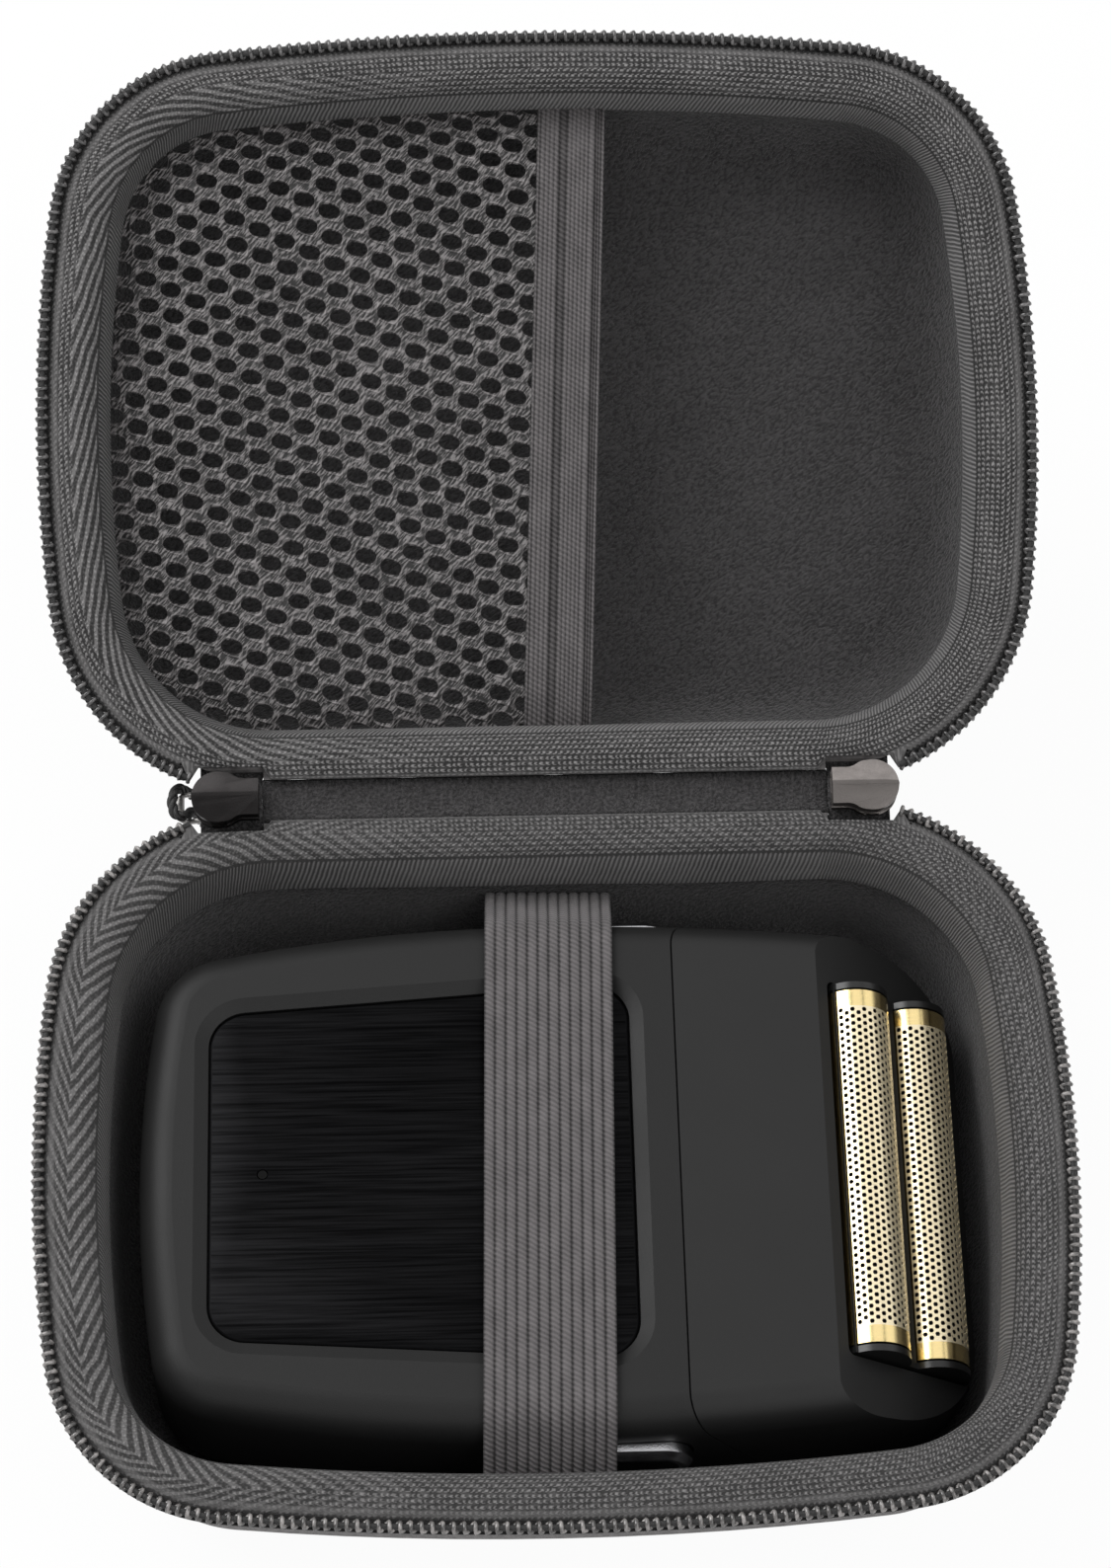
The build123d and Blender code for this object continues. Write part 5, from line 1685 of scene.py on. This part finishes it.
class CASE_OT_foils(bpy.types.Operator):
    """Arch the two perforated gold foils over their cutters"""

    bl_idname = "zip_case.foils"
    bl_label = "Foils"

    hole_halves = (0.32, 0.365)
    thick = 0.1
    end_steps = 4
    # The perforated web is a paler finish than the margins, and its pale colour also stands in for
    # a painted sheen on the foil's flanks.
    web_sheen_colour = (1.0, 0.87, 0.6)

    def perforated_sheet(self):
        """Flat foil: rows of holes, every other column half a row further on."""
        bm = bmesh.new()
        bmesh.ops.create_grid(
            bm, x_segments=FOIL_COLUMNS, y_segments=2 * FOIL_ROWS, size=0.5
        )
        wide = FOIL_COLUMNS * FOIL_COLUMN_PITCH
        long = FOIL_ROWS * FOIL_ROW_PITCH
        bmesh.ops.scale(bm, vec=(wide, long, 1), verts=bm.verts)
        joined = []
        for edge in bm.edges:
            ends = [vert.co for vert in edge.verts]
            if abs(ends[0].y - ends[1].y) > 0.01:
                continue
            middle = (ends[0] + ends[1]) / 2
            column = floor((middle.x + wide / 2) / FOIL_COLUMN_PITCH)
            line = round((middle.y + long / 2) / (FOIL_ROW_PITCH / 2))
            if 0 < line < 2 * FOIL_ROWS and (line + column) % 2 == 1:
                joined.append(edge)
        bmesh.ops.dissolve_edges(bm, edges=joined, use_verts=False, use_face_split=False)
        cells = [face for face in bm.faces if face.calc_area() > 0.6 * FOIL_ROW_PITCH]
        bmesh.ops.inset_individual(bm, faces=cells, thickness=0.12)
        for cell in cells:
            middle = cell.calc_center_median()
            for vert in cell.verts:
                angle = angle_of(vert.co.xy - middle.xy)
                vert.co.x = middle.x + self.hole_halves[0] * cos(angle)
                vert.co.y = middle.y + self.hole_halves[1] * sin(angle)
        bmesh.ops.delete(bm, geom=cells, context="FACES_ONLY")
        self.add_margins(bm, wide, long)
        for face in bm.faces:
            spot = face.calc_center_median()
            face.material_index = int(abs(spot.x) < wide / 2 and abs(spot.y) < long / 2)
        return bm

    def outer_edges(self, bm, axis, level):
        """Boundary edges that lie on a line of the flat foil."""
        return [
            edge for edge in bm.edges
            if edge.is_boundary and all(abs(vert.co[axis] - level) < 0.01 for vert in edge.verts)
        ]

    def add_margins(self, bm, wide, long):
        """Plain foil beside the holes, down the skirts and at both ends."""
        shoulder = (pi * FOIL_RADIUS - wide) / 2 / self.end_steps
        for side in (-1, 1):
            level = side * wide / 2
            for step in [shoulder] * self.end_steps + [FOIL_SKIRT]:
                extrude_edges(bm, self.outer_edges(bm, 0, level), (side * step, 0, 0))
                level += side * step
        for side in (-1, 1):
            edges = self.outer_edges(bm, 1, side * long / 2)
            extrude_edges(bm, edges, (0, side * (FOIL_HALF - long / 2), 0))

    def arch(self, bm, middle):
        """Bend the flat foil over its cutter."""
        quarter = pi / 2 * FOIL_RADIUS
        for vert in bm.verts:
            angle = min(max(vert.co.x, -quarter), quarter) / FOIL_RADIUS
            below = max(abs(vert.co.x) - quarter, 0.0)
            vert.co.x = middle + FOIL_RADIUS * sin(angle)
            vert.co.z = -FOIL_SINK + FOIL_RADIUS * cos(angle) - below

    def execute(self, context):
        gold = finish(
            brushed_metal, "foil_gold_plate", tuple(colours().gold), 0.2, (0.5, 5.0), 0.0004,
            0.06,
        )
        web = finish(
            brushed_metal, "foil_web_pale", self.web_sheen_colour, 0.3, (0.5, 5.0), 0.0004, 0.04, 0.75
        )
        for number, middle in enumerate(FOIL_PLACES, start=1):
            bm = self.perforated_sheet()
            self.arch(bm, middle)
            face_way(bm, (0, 0, 1))
            for edge in bm.edges:
                edge.seam = edge.is_boundary
            name = f"foil_{number}"
            piece = make_piece(
                name + "_arch", bm, DECK_PLACE, [gold, web], name, [name], crease=60
            )
            for edge in piece.data.edges:
                edge.use_edge_sharp = edge.use_seam
            thicken(piece, self.thick)
        return {"FINISHED"}


class CASE_OT_insides(bpy.types.Operator):
    """Finish the working parts inside the shaver"""

    bl_idname = "zip_case.insides"
    bl_label = "Inside parts"

    springs = (
        ("power_spring", "power_button", (0, 0, 1)),
        ("release_spring_rear", "release_button_rear", (0, 1, 0)),
        ("release_spring_front", "release_button_front", (0, -1, 0)),
    )

    def execute(self, context):
        steel = finish(brushed_metal, "spring_steel", display(150, 150, 152), 0.35)
        blade = finish(brushed_metal, "blade_steel_dark", display(52, 52, 54), 0.45)
        yoke = finish(moulded_plastic, "drive_white", display(196, 194, 188), 0.45, 0.01)
        sleeve = finish(moulded_plastic, "cell_sleeve_blue", display(40, 66, 110), 0.3, 0.005)
        board = finish(circuit_lacquer, "board_lacquer", display(20, 78, 44))
        refinish(blade, "cutter_1", "cutter_2")
        refinish(steel, "motor", "housing_screws")
        refinish(yoke, "drive_yoke")
        refinish(sleeve, "battery")
        refinish(board, "circuit_board")
        for node, button, way in self.springs:
            bm = merged_copy(node)
            piece = make_piece(node + "_coil", bm, Matrix(), [steel], None, [node])
            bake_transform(piece)
        return {"FINISHED"}


# ---- Panel ---------------------------------------------------------------------------
STEPS = [
    CASE_OT_stage, CASE_OT_pull_cord, CASE_OT_shells, CASE_OT_linings, CASE_OT_tapes,
    CASE_OT_teeth, CASE_OT_hinge, CASE_OT_mesh_pocket, CASE_OT_mesh_band, CASE_OT_strap,
    CASE_OT_sliders, CASE_OT_pulls, CASE_OT_housing, CASE_OT_face_plate, CASE_OT_buttons,
    CASE_OT_foils, CASE_OT_insides,
]
SETTINGS = {
    "case_weave": CaseWeaveSettings,
    "case_colours": CaseColourSettings,
    "case_stage": CaseStageSettings,
}


class CASE_PT_pieces(bpy.types.Panel):
    """Pieces of the case and the shaver"""

    bl_idname = "CASE_PT_pieces"
    bl_label = "Zip case with shaver"
    bl_space_type = "VIEW_3D"
    bl_region_type = "UI"
    bl_category = "Case"

    def draw(self, context):
        layout = self.layout
        for step in STEPS:
            layout.operator(step.bl_idname)
        for name, settings in SETTINGS.items():
            box = layout.box()
            for setting in settings.__annotations__:
                box.prop(getattr(context.scene, name), setting)


def register():
    """Register the settings, the operators and the panel."""
    for name, settings in SETTINGS.items():
        bpy.utils.register_class(settings)
        setattr(bpy.types.Scene, name, PointerProperty(type=settings))
    for step in STEPS:
        bpy.utils.register_class(step)
    bpy.utils.register_class(CASE_PT_pieces)


def unregister():
    """Take them away again."""
    bpy.utils.unregister_class(CASE_PT_pieces)
    for step in reversed(STEPS):
        bpy.utils.unregister_class(step)
    for name, settings in SETTINGS.items():
        delattr(bpy.types.Scene, name)
        bpy.utils.unregister_class(settings)


def main():
    """Build every piece in order."""
    register()
    for step in STEPS:
        getattr(bpy.ops.zip_case, step.bl_idname.split(".")[1])()


if __name__ == "__main__":
    main()
